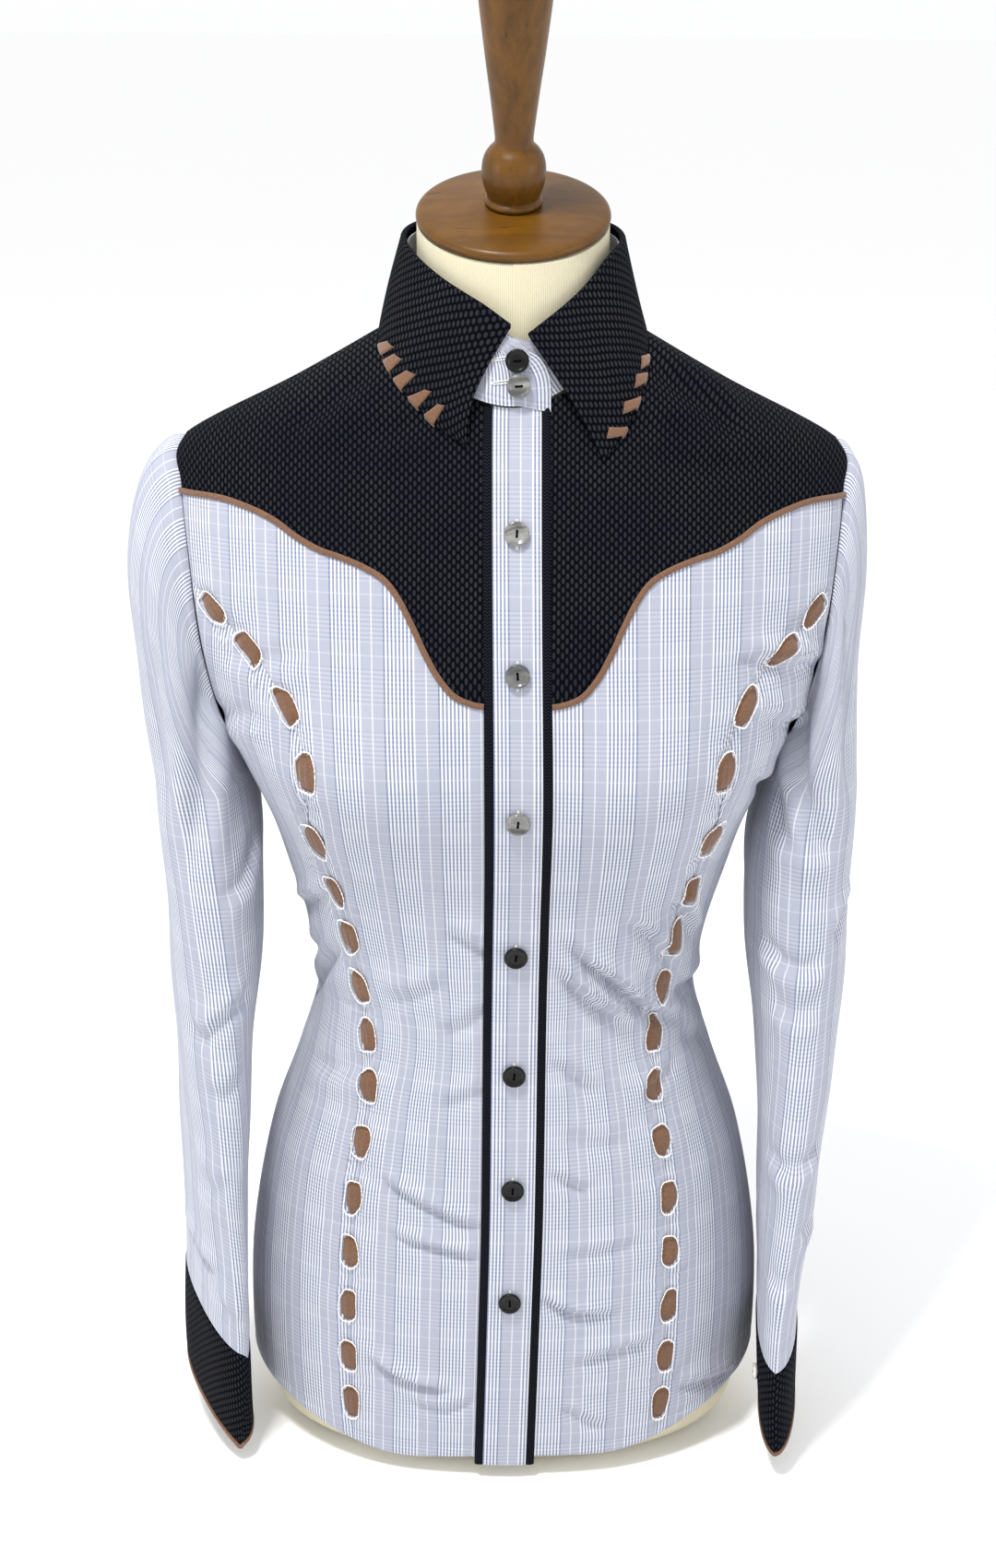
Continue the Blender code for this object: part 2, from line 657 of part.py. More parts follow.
def build_sleeve(side, name):
    """A sleeve with its cuff and the piping on the cuff's point."""
    bearings = ARMHOLE_BEARINGS
    shares = (0, 0.12, 0.28, 0.48, 0.72)
    heights = spread(0, 1, 8)

    def ring(inward):
        rows = [[cap_point(side, b, share, inward) for b in bearings] for share in shares]
        for down in heights:
            row = []
            for b in bearings:
                low = cuff_height(side, b, 0)
                row.append(tube_point(side, b, SLEEVE_LEVEL + (low - SLEEVE_LEVEL) * down, inward))
            rows.append(row)
        return rows

    def shaped(rows):
        return [row[::side] for row in rows]

    add_wall(f"sleeve_{name}", shaped(ring(0)), shaped(ring(WALL)), PLAID, ring=True)

    def cuff_rings(inward, low, high, steps):
        return [[tube_point(side, b, cuff_height(side, b, d), inward) for b in bearings]
                for d in spread(low, high, steps)]

    add_wall(f"cuff_{name}", shaped(cuff_rings(-0.3, 0, CUFF_DEPTH, 3)),
             shaped(cuff_rings(1.5, 0, CUFF_DEPTH, 3)), BLACK, ring=True)
    add_wall(f"cuff_piping_{name}", shaped(cuff_rings(-0.9, CUFF_DEPTH + 0.2, CUFF_DEPTH + 3.4, 1)),
             shaped(cuff_rings(1.6, CUFF_DEPTH + 0.2, CUFF_DEPTH + 3.4, 1)), SUEDE, ring=True)


def collar_stations(steps):
    """Fold and edge of the collar from the front end on the -X side round to the other end."""
    stations = []
    for along in spread(-1, 1, 2 * steps):
        side = RIGHT if along > 0 else LEFT
        place = 1 - abs(along)
        fold_turn, height, reach, edge_turn, level = smooth(COLLAR[side], place)
        turn = math.radians(side * fold_turn)
        fold = Vector((reach * math.sin(turn), -reach * math.cos(turn), height))
        stations.append((fold, shirt_frame(side * edge_turn, level)))
    return stations[::-1]


def leaf_point(station, share, inward=0.0):
    """A point on the collar, from its outer edge at share 0 to its fold at 1, and where it faces."""
    fold, (edge, facing) = station
    low = edge + facing * COLLAR_LIFT
    out = Vector((fold.x, fold.y, 0)).normalized()
    bulge = COLLAR_BULGE * math.sin(share * math.pi)
    return low.lerp(fold, share) + out * (bulge - inward), out


def add_collar_lace(name, side):
    """Lacing whipped over the lower edge of one side of the collar."""
    first, last = COLLAR_LACE_STEPS
    stations = collar_stations(COLLAR_STEPS)[::side][first:last + 1]
    line = []
    for station in stations[::-side]:
        corner, out = leaf_point(station, 0)
        above = leaf_point(station, 1 / COLLAR_ROWS)[0]
        places = [corner.lerp(above, share * COLLAR_ROWS) for share in COLLAR_LACE_SHARES]
        line.append((*places, out))
    strip_along(name, necked(line), LACE_HEIGHT, SUEDE)


def build_collar():
    """The stand with its lapped ends, and the leaf that folds over it."""
    def leaf(inward):
        return [[leaf_point(station, share, inward)[0] for station in collar_stations(COLLAR_STEPS)]
                for share in spread(0, 1, COLLAR_ROWS)]

    add_wall("collar", leaf(0), leaf(COLLAR_WALL), BLACK)

    def stand(inward):
        rows = []
        for v in spread(0, 1, 2):
            row = []
            for turn in spread(-STAND_UNDER_END, 360 + STAND_OVER_END, 34):
                around = (turn + 180) % 360 - 180
                side = RIGHT if around > 0 else LEFT
                fold = smooth([(r.fold_turn, r.fold_height, r.fold_reach) for r in COLLAR[side]],
                              min(180, max(abs(around), COLLAR[side][0].fold_turn)))
                low = shirt(around, NECK_LEVEL)
                lap = STAND_OVERLAP * max(0, min(1, (turn - 300) / 40))
                angle = math.radians(around)
                out = Vector((math.sin(angle), -math.cos(angle), 0))
                high = out * (fold[1] - STAND_INSET)
                high.z = fold[0] - STAND_TOP_GAP
                low.z += SEAM_GAP
                low += Vector((0, 0, WALL))
                row.append(low.lerp(high, v) + out * (lap - inward))
            rows.append(row)
        return rows

    add_wall("collar_stand", stand(0), stand(WALL), PLAID)


def turned_body(name, profile, sides, colour, roughness, turned, centre=(0, 0, 0)):
    """A body of revolution about its own Z, from heights and radii that start and end on the axis."""
    points = [Vector((0, 0, profile[0][0]))]
    for height, radius in profile[1:-1]:
        for k in range(sides):
            angle = 2 * math.pi * k / sides
            points.append(Vector((radius * math.cos(angle), radius * math.sin(angle), height)))
    points.append(Vector((0, 0, profile[-1][0])))
    rings = len(profile) - 2
    faces = []
    for k in range(sides):
        after = (k + 1) % sides
        faces.append((0, 1 + after, 1 + k))
        for i in range(rings - 1):
            a, b = 1 + i * sides + k, 1 + i * sides + after
            faces.append((a, b, b + sides, a + sides))
        last = 1 + (rings - 1) * sides
        faces.append((last + k, last + after, len(points) - 1))
    return add_object(name, points, faces, colour, roughness, centre, turned)


def button_profile(radius, height):
    """A flat button with a rounded rim and a shallow dish."""
    return [
        (0, 0), (0, radius * 0.8), (height * 0.35, radius), (height * 0.75, radius),
        (height, radius * 0.86), (height * 0.8, radius * 0.6), (height * 0.78, 0),
    ]


def add_button(name, point, facing, radius, colour):
    """A button standing on the cloth."""
    turned = facing.to_track_quat("Z", "Y").to_matrix().to_4x4()
    turned_body(name, button_profile(radius, BUTTON_HEIGHT), 12, colour, 0.2, turned, point)


def build_buttons():
    """Buttons down the front, on the collar stand and on the cuffs."""
    for number, height in enumerate(BUTTON_HEIGHTS, 1):
        point, facing = shirt_frame(0, height)
        add_button(f"front_button_{number}", point + facing * 1.3, facing, BUTTON_RADIUS, SMOKE)
    for number, height in enumerate(STAND_BUTTON_HEIGHTS, 1):
        facing = Vector((0.08, -1, 0.08)).normalized()
        low = shirt(4, NECK_LEVEL)
        point = Vector((4.5, low.y - STAND_OVERLAP - 1.5 + (height - 695) * 0.09, height))
        add_button(f"collar_button_{number}", point, facing, BUTTON_RADIUS * 0.9, SMOKE)
    for side, name, bearing in ((LEFT, "left", 200), (RIGHT, "right", 158)):
        height = cuff_height(side, bearing, CUFF_DEPTH * 0.45)
        point = tube_point(side, bearing, height, -1.0)
        ahead = tube_point(side, bearing + 4, height) - tube_point(side, bearing - 4, height)
        facing = ahead.cross(Vector((0, 0, 1))).normalized()
        if facing.x * side > 0:
            facing = -facing
        add_button(f"cuff_button_{name}", point, facing, CUFF_BUTTON_RADIUS, PEARL)


def build_form():
    """The jersey torso with its flat bottom, the wooden cap on its neck and the finial."""
    sides = 30
    rows = []
    for row in FORM:
        rows.append([body_point(FORM, 360 * k / sides, row.level) for k in range(sides)])
    slope = math.tan(math.radians(CAP_TILT))
    rows.append([Vector((p.x, p.y, CAP_CENTRE[2] - CAP_OVERHANG + (p.y - CAP_CENTRE[1]) * slope))
                 for p in rows[-1]])
    points = [p for row in rows for p in row]
    faces = [tuple(range(sides))[::-1], tuple(range(len(points) - sides, len(points)))]
    for i in range(len(rows) - 1):
        for k in range(sides):
            a, b = i * sides + k, i * sides + (k + 1) % sides
            faces.append((a, b, b + sides, a + sides))
    add_object("form_torso", points, faces, JERSEY, 0.9)
    tilt = Matrix.Rotation(math.radians(CAP_TILT), 4, "X")
    turned_body("form_neck_cap", CAP_PROFILE, 28, WOOD, 0.4, tilt, CAP_CENTRE)
    turned_body("form_finial", FINIAL_PROFILE, 16, WOOD, 0.4, tilt, CAP_CENTRE)


def clear_scene():
    """Removes whatever the scene holds."""
    for old in list(bpy.data.objects):
        bpy.data.objects.remove(old, do_unlink=True)


def main():
    clear_scene()
    build_form()
    for side, name in ((LEFT, "left"), (RIGHT, "right")):
        yoke = build_fronts(side, name)
        add_piping(f"yoke_piping_{name}", mirrored(yoke[:-1], side)[::-side])
        add_lace(f"lace_{name}", side)
        add_collar_lace(f"collar_lace_{name}", side)
        build_sleeve(side, name)
    edge = build_back()
    add_piping("yoke_piping_back", edge[1:-1])
    build_front_strips()
    build_collar()
    build_buttons()


main()
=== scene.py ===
"""Looks of a western shirt on a limbless dress form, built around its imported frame.

Lengths in the tables are millimetres, and the meshes are made in metres. A turn is an angle in degrees
round the upright axis: 0 is the middle of the front, 90 the wearer's left side at +X and 180 the middle
of the back. A level is a height along the cloth, which dips or rises with the neck and shoulders.
"""

import logging
import math
from collections.abc import Callable, Sequence
from dataclasses import dataclass, field
from enum import Enum
from typing import ClassVar, NamedTuple

import bpy
import numpy as np
from mathutils import Matrix, Vector


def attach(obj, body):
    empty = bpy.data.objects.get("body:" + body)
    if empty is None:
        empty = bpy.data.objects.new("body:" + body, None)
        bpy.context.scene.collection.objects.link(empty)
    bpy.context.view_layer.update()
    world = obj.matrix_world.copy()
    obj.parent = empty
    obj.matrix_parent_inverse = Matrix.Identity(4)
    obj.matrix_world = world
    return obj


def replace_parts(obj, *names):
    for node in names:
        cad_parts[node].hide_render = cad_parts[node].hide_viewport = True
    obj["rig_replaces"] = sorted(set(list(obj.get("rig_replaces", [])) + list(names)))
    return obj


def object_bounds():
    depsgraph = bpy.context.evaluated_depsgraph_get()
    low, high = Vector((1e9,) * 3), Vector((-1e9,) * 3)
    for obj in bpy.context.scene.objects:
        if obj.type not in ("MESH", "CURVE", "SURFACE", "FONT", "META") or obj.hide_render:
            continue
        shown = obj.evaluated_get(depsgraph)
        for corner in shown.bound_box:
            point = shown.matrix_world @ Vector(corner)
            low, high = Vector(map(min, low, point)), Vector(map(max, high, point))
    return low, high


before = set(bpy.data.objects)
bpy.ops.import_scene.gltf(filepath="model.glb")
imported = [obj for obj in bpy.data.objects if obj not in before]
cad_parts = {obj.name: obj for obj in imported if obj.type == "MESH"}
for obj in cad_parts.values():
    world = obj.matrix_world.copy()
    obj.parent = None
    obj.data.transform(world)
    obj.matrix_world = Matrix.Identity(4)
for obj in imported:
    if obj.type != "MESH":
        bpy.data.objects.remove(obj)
CAD_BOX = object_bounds()

LOG = logging.getLogger("western_shirt")
MM = 0.001
BODY = "root"
Grid = np.ndarray


class Side(Enum):
    """A side of the shirt as the viewer sees it; its value is the sign of X."""

    LEFT = -1
    RIGHT = 1

    @property
    def word(self) -> str:
        """The side's name in the frame's node names."""
        return self.name.lower()


# ---- Tables of the garment's shape ----


class Ring(NamedTuple):
    """One level of an outline: ring heights, half width, depths ahead and behind, and squareness."""

    level: float
    front: float
    side: float
    back: float
    width: float
    ahead: float
    behind: float
    square: float


def flat_ring(level: float, width: float, ahead: float, behind: float, square: float) -> Ring:
    """A ring that lies at one height all round."""
    return Ring(level, level, level, level, width, ahead, behind, square)


SHIRT = (
    flat_ring(-30, 166, 106, 116, 2.2),
    flat_ring(0, 168, 107, 119, 2.2),
    flat_ring(75, 171, 107, 124, 2.2),
    flat_ring(135, 168, 106, 122, 2.2),
    flat_ring(210, 154, 103, 106, 2.2),
    flat_ring(265, 135, 99, 88, 2.2),
    flat_ring(317, 121, 97, 79, 2.2),
    flat_ring(360, 127.5, 99, 80, 2.25),
    flat_ring(400, 138.5, 104, 85, 2.3),
    flat_ring(435, 149, 112, 89, 2.35),
    flat_ring(475, 167, 119, 94, 2.4),
    flat_ring(515, 186, 117, 98, 2.4),
    flat_ring(560, 201, 108, 100, 2.4),
    Ring(610, 610, 608, 610, 206, 95, 98, 2.4),
    Ring(650, 648, 643, 650, 204, 82, 89, 2.35),
    Ring(680, 672, 666, 680, 195, 73, 80, 2.2),
    Ring(710, 686, 701, 712, 128, 68, 71, 2.1),
    Ring(740, 695, 736, 747, 66, 66, 62, 2.0),
)
FORM = (
    flat_ring(0, 140, 82, 92, 2.2),
    flat_ring(4, 149, 90, 100, 2.2),
    flat_ring(12, 156, 96, 107, 2.2),
    flat_ring(28, 160, 99, 112, 2.2),
    flat_ring(75, 163, 100, 117, 2.2),
    flat_ring(135, 160, 99, 115, 2.2),
    flat_ring(210, 146, 96, 99, 2.2),
    flat_ring(265, 127, 92, 80, 2.2),
    flat_ring(317, 114, 89, 71, 2.2),
    flat_ring(360, 119, 91, 72, 2.2),
    flat_ring(400, 128, 96, 77, 2.2),
    flat_ring(435, 137, 103, 81, 2.2),
    flat_ring(475, 145, 109, 86, 2.2),
    flat_ring(515, 151, 107, 89, 2.2),
    flat_ring(560, 160, 98, 91, 2.2),
    Ring(610, 606, 604, 606, 169, 86, 88, 2.2),
    Ring(650, 640, 635, 642, 171, 74, 78, 2.2),
    Ring(680, 663, 661, 671, 158, 65, 70, 2.1),
    Ring(710, 679, 691, 703, 116, 60, 61, 2.05),
    Ring(740, 697, 725, 736, 64, 57, 55, 2.0),
    Ring(756, 722, 746, 758, 56, 56, 53, 2.0),
)


class Fold(NamedTuple):
    """A soft swelling: its centre, half length, half width, height and lean from upright."""

    turn: float
    level: float
    length: float
    width: float
    height: float
    lean: float


FOLDS = (
    Fold(30, 350, 50, 11, 2.2, -52),
    Fold(34, 318, 42, 9, -1.8, -56),
    Fold(-34, 338, 38, 10, 1.8, 58),
    Fold(-66, 330, 34, 10, 2.0, 70),
    Fold(68, 345, 36, 10, 2.2, -70),
    Fold(-28, 62, 44, 11, 1.8, -48),
    Fold(150, 330, 46, 13, 2.4, -64),
    Fold(-150, 338, 46, 13, 2.4, 64),
    Fold(128, 380, 52, 14, 2.0, 40),
    Fold(-126, 376, 52, 14, 2.0, -40),
)
TWIST = ((-30, 0.2), (0, 0.5), (100, 1.6), (200, 2.6), (400, 3.0), (500, 2.5), (620, 2.1), (740, 2.5))
PRINCESS = ((-30, 46.5), (0, 47), (80, 49), (200, 50), (272, 49.3), (330, 53.8), (400, 55.8),
            (440, 55.5), (488, 50), (526, 55), (556, 63.5), (590, 76))
LACE_LEVELS = (47, 82, 119, 158, 196, 235, 272, 304, 336, 370, 402, 438, 488, 526, 556, 576)
STITCH_WIDTHS = ((40, 1.22), (200, 1.2), (304, 1.36), (402, 1.62), (438, 1.8), (488, 1.55), (526, 1.3),
                 (576, 1.3))
STITCH_LENGTHS = ((40, 1.22), (304, 1.14), (402, 1.22), (488, 1.32), (576, 1.2))
YOKE_EDGE = ((9, 532.5), (13, 534), (18, 538.5), (22.7, 549), (26.7, 562), (30.7, 577), (35, 591.5),
             (39, 601.5), (44, 608.5), (50, 614.5), (54, 618), (58.7, 625), (63.4, 634.5),
             (68.3, 641.5), (73.2, 645.5), (80.5, 645))
BUTTON_LEVELS = (134, 213, 290, 371, 464, 550, 628)
STAND_BUTTON_HEIGHTS = (708, 722)
SQUEEZE = ((-30, 1.03), (60, 1.03), (140, 1.03), (200, 1.06), (260, 1.18), (310, 1.34), (360, 1.16),
           (420, 1.04), (480, 1.0), (540, 0.98), (740, 0.98))


class Tube(NamedTuple):
    """A hanging sleeve by height: its middle, half thickness, half breadth and inward turn."""

    height: float
    across: float
    ahead: float
    thick: float
    broad: float
    yaw: float


SLEEVES = {
    Side.LEFT: (
        Tube(-40, 189, 52, 13, 44, 27),
        Tube(10, 189.5, 50, 13, 45, 27),
        Tube(60, 191, 47, 13.5, 47, 26),
        Tube(120, 190, 42, 14.5, 50, 23),
        Tube(200, 190, 33, 18.5, 53, 18),
        Tube(280, 188.5, 23, 24, 56, 13),
        Tube(350, 186, 13, 29.5, 59, 7),
        Tube(410, 186.5, 5, 31.5, 61, 2),
        Tube(455, 190, 0, 30, 62, 0),
    ),
    Side.RIGHT: (
        Tube(-40, 184, 62, 11, 45, 6),
        Tube(10, 184, 60, 11, 46, 7),
        Tube(60, 182, 57, 12, 48, 7),
        Tube(120, 180.5, 51, 14, 51, 5),
        Tube(200, 184, 41, 19, 54, 3),
        Tube(280, 185.5, 28, 25, 57, 2),
        Tube(350, 184, 16, 31, 60, 0),
        Tube(410, 184, 6, 32.5, 62, 0),
        Tube(455, 189.5, 0, 28, 62, 0),
    ),
}


class Head(NamedTuple):
    """How far a sleeve's head puffs out from the shoulder and leans back in below it."""

    puff: float
    lean: float


class Point(NamedTuple):
    """A cuff's point: its tip's bearing, its seam's high and low heights, its lean, shape and stretch."""

    tip_bearing: float
    seam_high: float
    seam_low: float
    slant: float
    power: float
    stretch: float


class Leaf(NamedTuple):
    """A station of the collar: its fold's turn, height and reach, and its edge's turn and level."""

    along: float
    fold_turn: float
    fold_height: float
    fold_reach: float
    edge_turn: float
    edge_level: float


COLLAR = {
    Side.LEFT: (
        Leaf(0.0, 1, 740, 65.5, 21, 682),
        Leaf(0.12, 16, 751, 65, 30, 694),
        Leaf(0.28, 38, 762, 64, 46, 716),
        Leaf(0.42, 62, 772.5, 64, 64, 729),
        Leaf(0.55, 88, 781, 65.5, 88, 735),
        Leaf(0.7, 118, 786, 66, 118, 736),
        Leaf(1.0, 180, 790, 66, 180, 731),
    ),
    Side.RIGHT: (
        Leaf(0.0, 8, 735, 65.5, 33.4, 674),
        Leaf(0.12, 19, 743.5, 65, 41, 692.5),
        Leaf(0.28, 38, 757, 64, 52.5, 716),
        Leaf(0.42, 62, 774, 64, 66, 729),
        Leaf(0.55, 88, 781, 65.5, 88, 735),
        Leaf(0.7, 118, 786, 66, 118, 736),
        Leaf(1.0, 180, 790, 66, 180, 731),
    ),
}


# ---- Curves and surfaces ----


def bell(distance: Grid | float, width: Grid | float) -> Grid:
    """A smooth bump that is 1 at no distance and fades over its width."""
    return np.exp(-((distance / width) ** 2))


def eased(share: Grid) -> Grid:
    """A share from 0 to 1 with a gentle start and end."""
    held = np.clip(share, 0, 1)
    return held * held * (3 - 2 * held)


def unit(vectors: Grid) -> Grid:
    """The vectors at length one."""
    return vectors / np.maximum(np.linalg.norm(vectors, axis=-1, keepdims=True), 1e-9)


def steps(start: float, end: float, size: float) -> Grid:
    """Even values from start to end, about a given size apart."""
    return np.linspace(start, end, max(2, round(abs(end - start) / size) + 1))


def run_along(points: Grid, axis: int = 0) -> Grid:
    """How far each point lies along its line, from the line's start."""
    lengths = np.linalg.norm(np.diff(points, axis=axis), axis=-1)
    start = np.zeros_like(np.take(lengths, [0], axis=axis))
    return np.concatenate([start, np.cumsum(lengths, axis=axis)], axis=axis)


def pairs(turns: Grid | float, levels: Grid | float) -> Grid:
    """Places as rows of a turn and a level; either may be the same for all."""
    return np.stack(np.broadcast_arrays(turns, levels), axis=-1)


def uneven(number: Grid | float, seed: float = 0.0) -> Grid | float:
    """A repeatable value from 0 to 1 that differs from number to number."""
    mixed = np.sin(np.asarray(number) * 12.9898 + seed * 78.233) * 43758.5453
    return mixed - np.floor(mixed)


class Curve:
    """A smooth curve through the rows of a table, whose first column is the place."""

    def __init__(self, rows: Sequence[Sequence[float]]) -> None:
        """Reads the table and works out the slope at each row.

        Args:
            rows: the place and the values of each row, in rising order of place.
        """
        table = np.array(rows, float)
        self.at, self.values = table[:, 0], table[:, 1:]
        order = np.arange(len(table))
        low, high = np.maximum(order - 1, 0), np.minimum(order + 1, len(table) - 1)
        self.slopes = (self.values[high] - self.values[low]) / (self.at[high] - self.at[low])[:, None]

    def __call__(self, where: Grid | float) -> Grid:
        """The values at some places.

        Args:
            where: the places, in an array of any shape.

        Returns:
            One value for each place, or a last axis of values if the table has several columns.
        """
        where = np.asarray(where, float)
        i = np.searchsorted(self.at[1:-1], where)
        span = (self.at[i + 1] - self.at[i])[..., None]
        t = (where - self.at[i])[..., None] / span
        found = (
            (2 * t**3 - 3 * t**2 + 1) * self.values[i] + (t**3 - 2 * t**2 + t) * span * self.slopes[i]
            + (3 * t**2 - 2 * t**3) * self.values[i + 1] + (t**3 - t**2) * span * self.slopes[i + 1]
        )
        return found[..., 0] if found.shape[-1] == 1 else found


@dataclass(frozen=True)
class Outline:
    """A torso outline that swells at the bust."""

    rings: Curve
    bust_turn: float = 38
    bust_spread: float = 20
    bust_level: float = 478
    bust_reach: float = 48
    bust_depth: float = 13

    def point(self, turn: Grid, level: Grid) -> Grid:
        """Points on the outline.

        Args:
            turn: angles round the axis.
            level: levels, in the same shape.

        Returns:
            Points in millimetres, on a last axis of three.
        """
        turn, level = np.broadcast_arrays(np.asarray(turn, float), np.asarray(level, float))
        front, side, back, width, ahead, behind, square = np.moveaxis(self.rings(level), -1, 0)
        s, c = np.sin(np.radians(turn)), np.cos(np.radians(turn))
        depth, middle = np.where(c > 0, ahead, behind), np.where(c > 0, front, back)
        reach = ((np.abs(s) / width) ** square + (np.abs(c) / depth) ** square) ** (-1 / square)
        bearing = np.degrees(np.arctan2(np.abs(s), c))
        swell = self.bust_depth * bell(bearing - self.bust_turn, self.bust_spread)
        reach = reach + np.where(c > 0, swell * bell(level - self.bust_level, self.bust_reach), 0)
        return np.stack([reach * s, -reach * c, side + (middle - side) * c * c], axis=-1)


@dataclass(frozen=True)
class Crease:
    """A sharp fold in the cloth: a trough along a path, with a ridge on the path's left."""

    path: tuple[tuple[float, float], ...]
    depth: float
    width: float
    ridge: float = 0.75
    fade_share: ClassVar[float] = 0.28
    breadth: ClassVar[float] = 1.3
    drag_share: ClassVar[float] = 0.55

    def press(self, x: Grid, y: Grid, flat_path: Sequence[tuple[float, float]]) -> tuple[Grid, Grid]:
        """How the crease moves the cloth.

        Args:
            x: how far across the cloth each point lies.
            y: how far up it lies.
            flat_path: the crease's own path in the same measure.

        Returns:
            The height that it gives each point, and how far it drags the threads sideways.
        """
        near, side, run = np.full(x.shape, 1e9), np.zeros(x.shape), np.zeros(x.shape)
        count = len(flat_path) - 1
        for k, ((ax, ay), (bx, by)) in enumerate(zip(flat_path, flat_path[1:])):
            dx, dy = bx - ax, by - ay
            t = np.clip(((x - ax) * dx + (y - ay) * dy) / (dx * dx + dy * dy), 0, 1)
            off_x, off_y = x - ax - t * dx, y - ay - t * dy
            far = np.hypot(off_x, off_y)
            closer = far < near
            near = np.where(closer, far, near)
            side = np.where(closer, np.sign(dx * off_y - dy * off_x), side)
            run = np.where(closer, (k + t) / count, run)
        fade = eased(np.minimum(run, 1 - run) / self.fade_share)
        across = near * side
        width = self.breadth * self.width
        valley = bell(across, width)
        crest = bell(across - 1.6 * width, 1.4 * width)
        height = self.depth * fade * (self.ridge * crest - valley)
        return height, self.drag_share * self.depth * fade * bell(across, 2.2 * self.width)


FRONT_CREASES = (
    Crease(((12, 388), (24, 362), (34, 346), (42, 331), (51, 317), (74, 298)), 3.4, 3.4),
    Crease(((31, 396), (44, 376), (53, 356), (60, 345)), 2.2, 3.6),
    Crease(((49, 399), (57, 385), (68, 356)), 2.0, 4.0),
    Crease(((11, 366), (21.8, 342), (30.5, 328), (44, 311)), 2.2, 3.4),
    Crease(((11, 300), (20.4, 285), (31, 271)), 1.3, 4.0),
    Crease(((11, 224), (18.4, 214), (27, 207)), 1.2, 3.2),
    Crease(((10, 137), (15, 127), (22, 121), (38, 119)), 2.0, 2.8),
    Crease(((18, 83), (31.6, 90), (38.8, 93), (46, 93)), 1.5, 3.2),
    Crease(((18, 54), (24, 45), (34, 32)), 1.3, 3.2),
    Crease(((52, 54), (60.7, 51), (74, 44)), 1.6, 3.4),
    Crease(((14, 163), (28, 164), (45, 170)), 0.9, 4.0),
    Crease(((44, 262), (52, 274), (60, 281)), 1.1, 4.0),
    Crease(((14, 250), (26, 240), (40, 236)), 0.9, 5.0),
    Crease(((60, 330), (70, 322), (84, 326)), 1.9, 4.6),
    Crease(((62, 300), (72, 286), (86, 280)), 1.4, 5.0),
    Crease(((-25, 386), (-14, 377), (-8, 366)), 1.5, 4.0),
    Crease(((-84, 366), (-68, 386), (-56, 402)), 1.7, 3.6),
    Crease(((-93, 292), (-74, 330), (-57, 368)), 1.9, 4.6),
    Crease(((-90, 330), (-76, 345), (-62, 372)), 1.2, 4.2),
    Crease(((-46, 216), (-35.5, 203), (-19.7, 189), (-7, 184)), 1.9, 3.0),
    Crease(((-42, 176), (-24.5, 168), (-8, 162)), 1.7, 2.8),
    Crease(((-46, 87), (-37.4, 73), (-28.7, 67), (-16, 63)), 2.2, 2.8),
    Crease(((-34, 56), (-20, 51), (-9, 60)), 1.2, 3.2),
    Crease(((-28, 262), (-16, 273), (-8, 279)), 1.0, 4.4),
    Crease(((-28, 312), (-16, 323), (-8, 338)), 1.1, 4.2),
    Crease(((-46, 330), (-34, 338), (-20, 356)), 1.3, 5.0),
    Crease(((-48, 288), (-60, 276), (-76, 270)), 1.2, 4.6),
    Crease(((-50, 560), (-60, 552), (-72, 548)), 1.0, 5.0),
    Crease(((52, 556), (64, 546), (78, 536)), 1.5, 4.2),
    Crease(((56, 520), (68, 506), (84, 492)), 1.7, 4.6),
    Crease(((-58, 520), (-70, 510), (-84, 497)), 1.1, 5.0),
    Crease(((60, 476), (72, 462), (86, 452)), 1.4, 4.4),
)
BACK_CREASES = (
    Crease(((104, 372), (124, 350), (146, 338), (164, 336)), 2.6, 5.0),
    Crease(((100, 330), (122, 318), (150, 312)), 2.1, 4.6),
    Crease(((256, 366), (236, 346), (212, 334), (194, 334)), -2.4, 5.0, 0.6),
    Crease(((262, 322), (240, 312), (214, 306)), -2.0, 4.6, 0.6),
    Crease(((150, 292), (176, 286), (206, 290)), 1.9, 5.0),
    Crease(((118, 270), (140, 258), (160, 256)), 1.5, 5.4),
    Crease(((206, 262), (226, 266), (246, 280)), 1.4, 5.4),
    Crease(((112, 520), (132, 500), (150, 492)), 1.6, 6.0),
    Crease(((248, 524), (230, 502), (212, 494)), -1.5, 6.0, 0.6),
    Crease(((166, 360), (184, 352), (204, 358)), 1.5, 5.0),
    Crease(((126, 60), (150, 52), (172, 58)), 1.4, 5.0),
    Crease(((196, 74), (216, 62), (240, 64)), 1.5, 5.0),
)
YOKE_CREASES = (
    Crease(((30, 715), (46, 700), (62, 690)), 0.9, 5.0),
    Crease(((62, 728), (68, 708), (70, 688)), 1.6, 5.0),
    Crease(((-62, 728), (-67, 706), (-70, 690)), 1.1, 5.0),
    Crease(((44, 690), (56, 676), (74, 668)), 0.8, 6.0),
    Crease(((-34, 708), (-46, 696), (-58, 688)), 0.8, 6.0),
    Crease(((150, 668), (176, 662), (206, 668)), 0.9, 7.0),
)


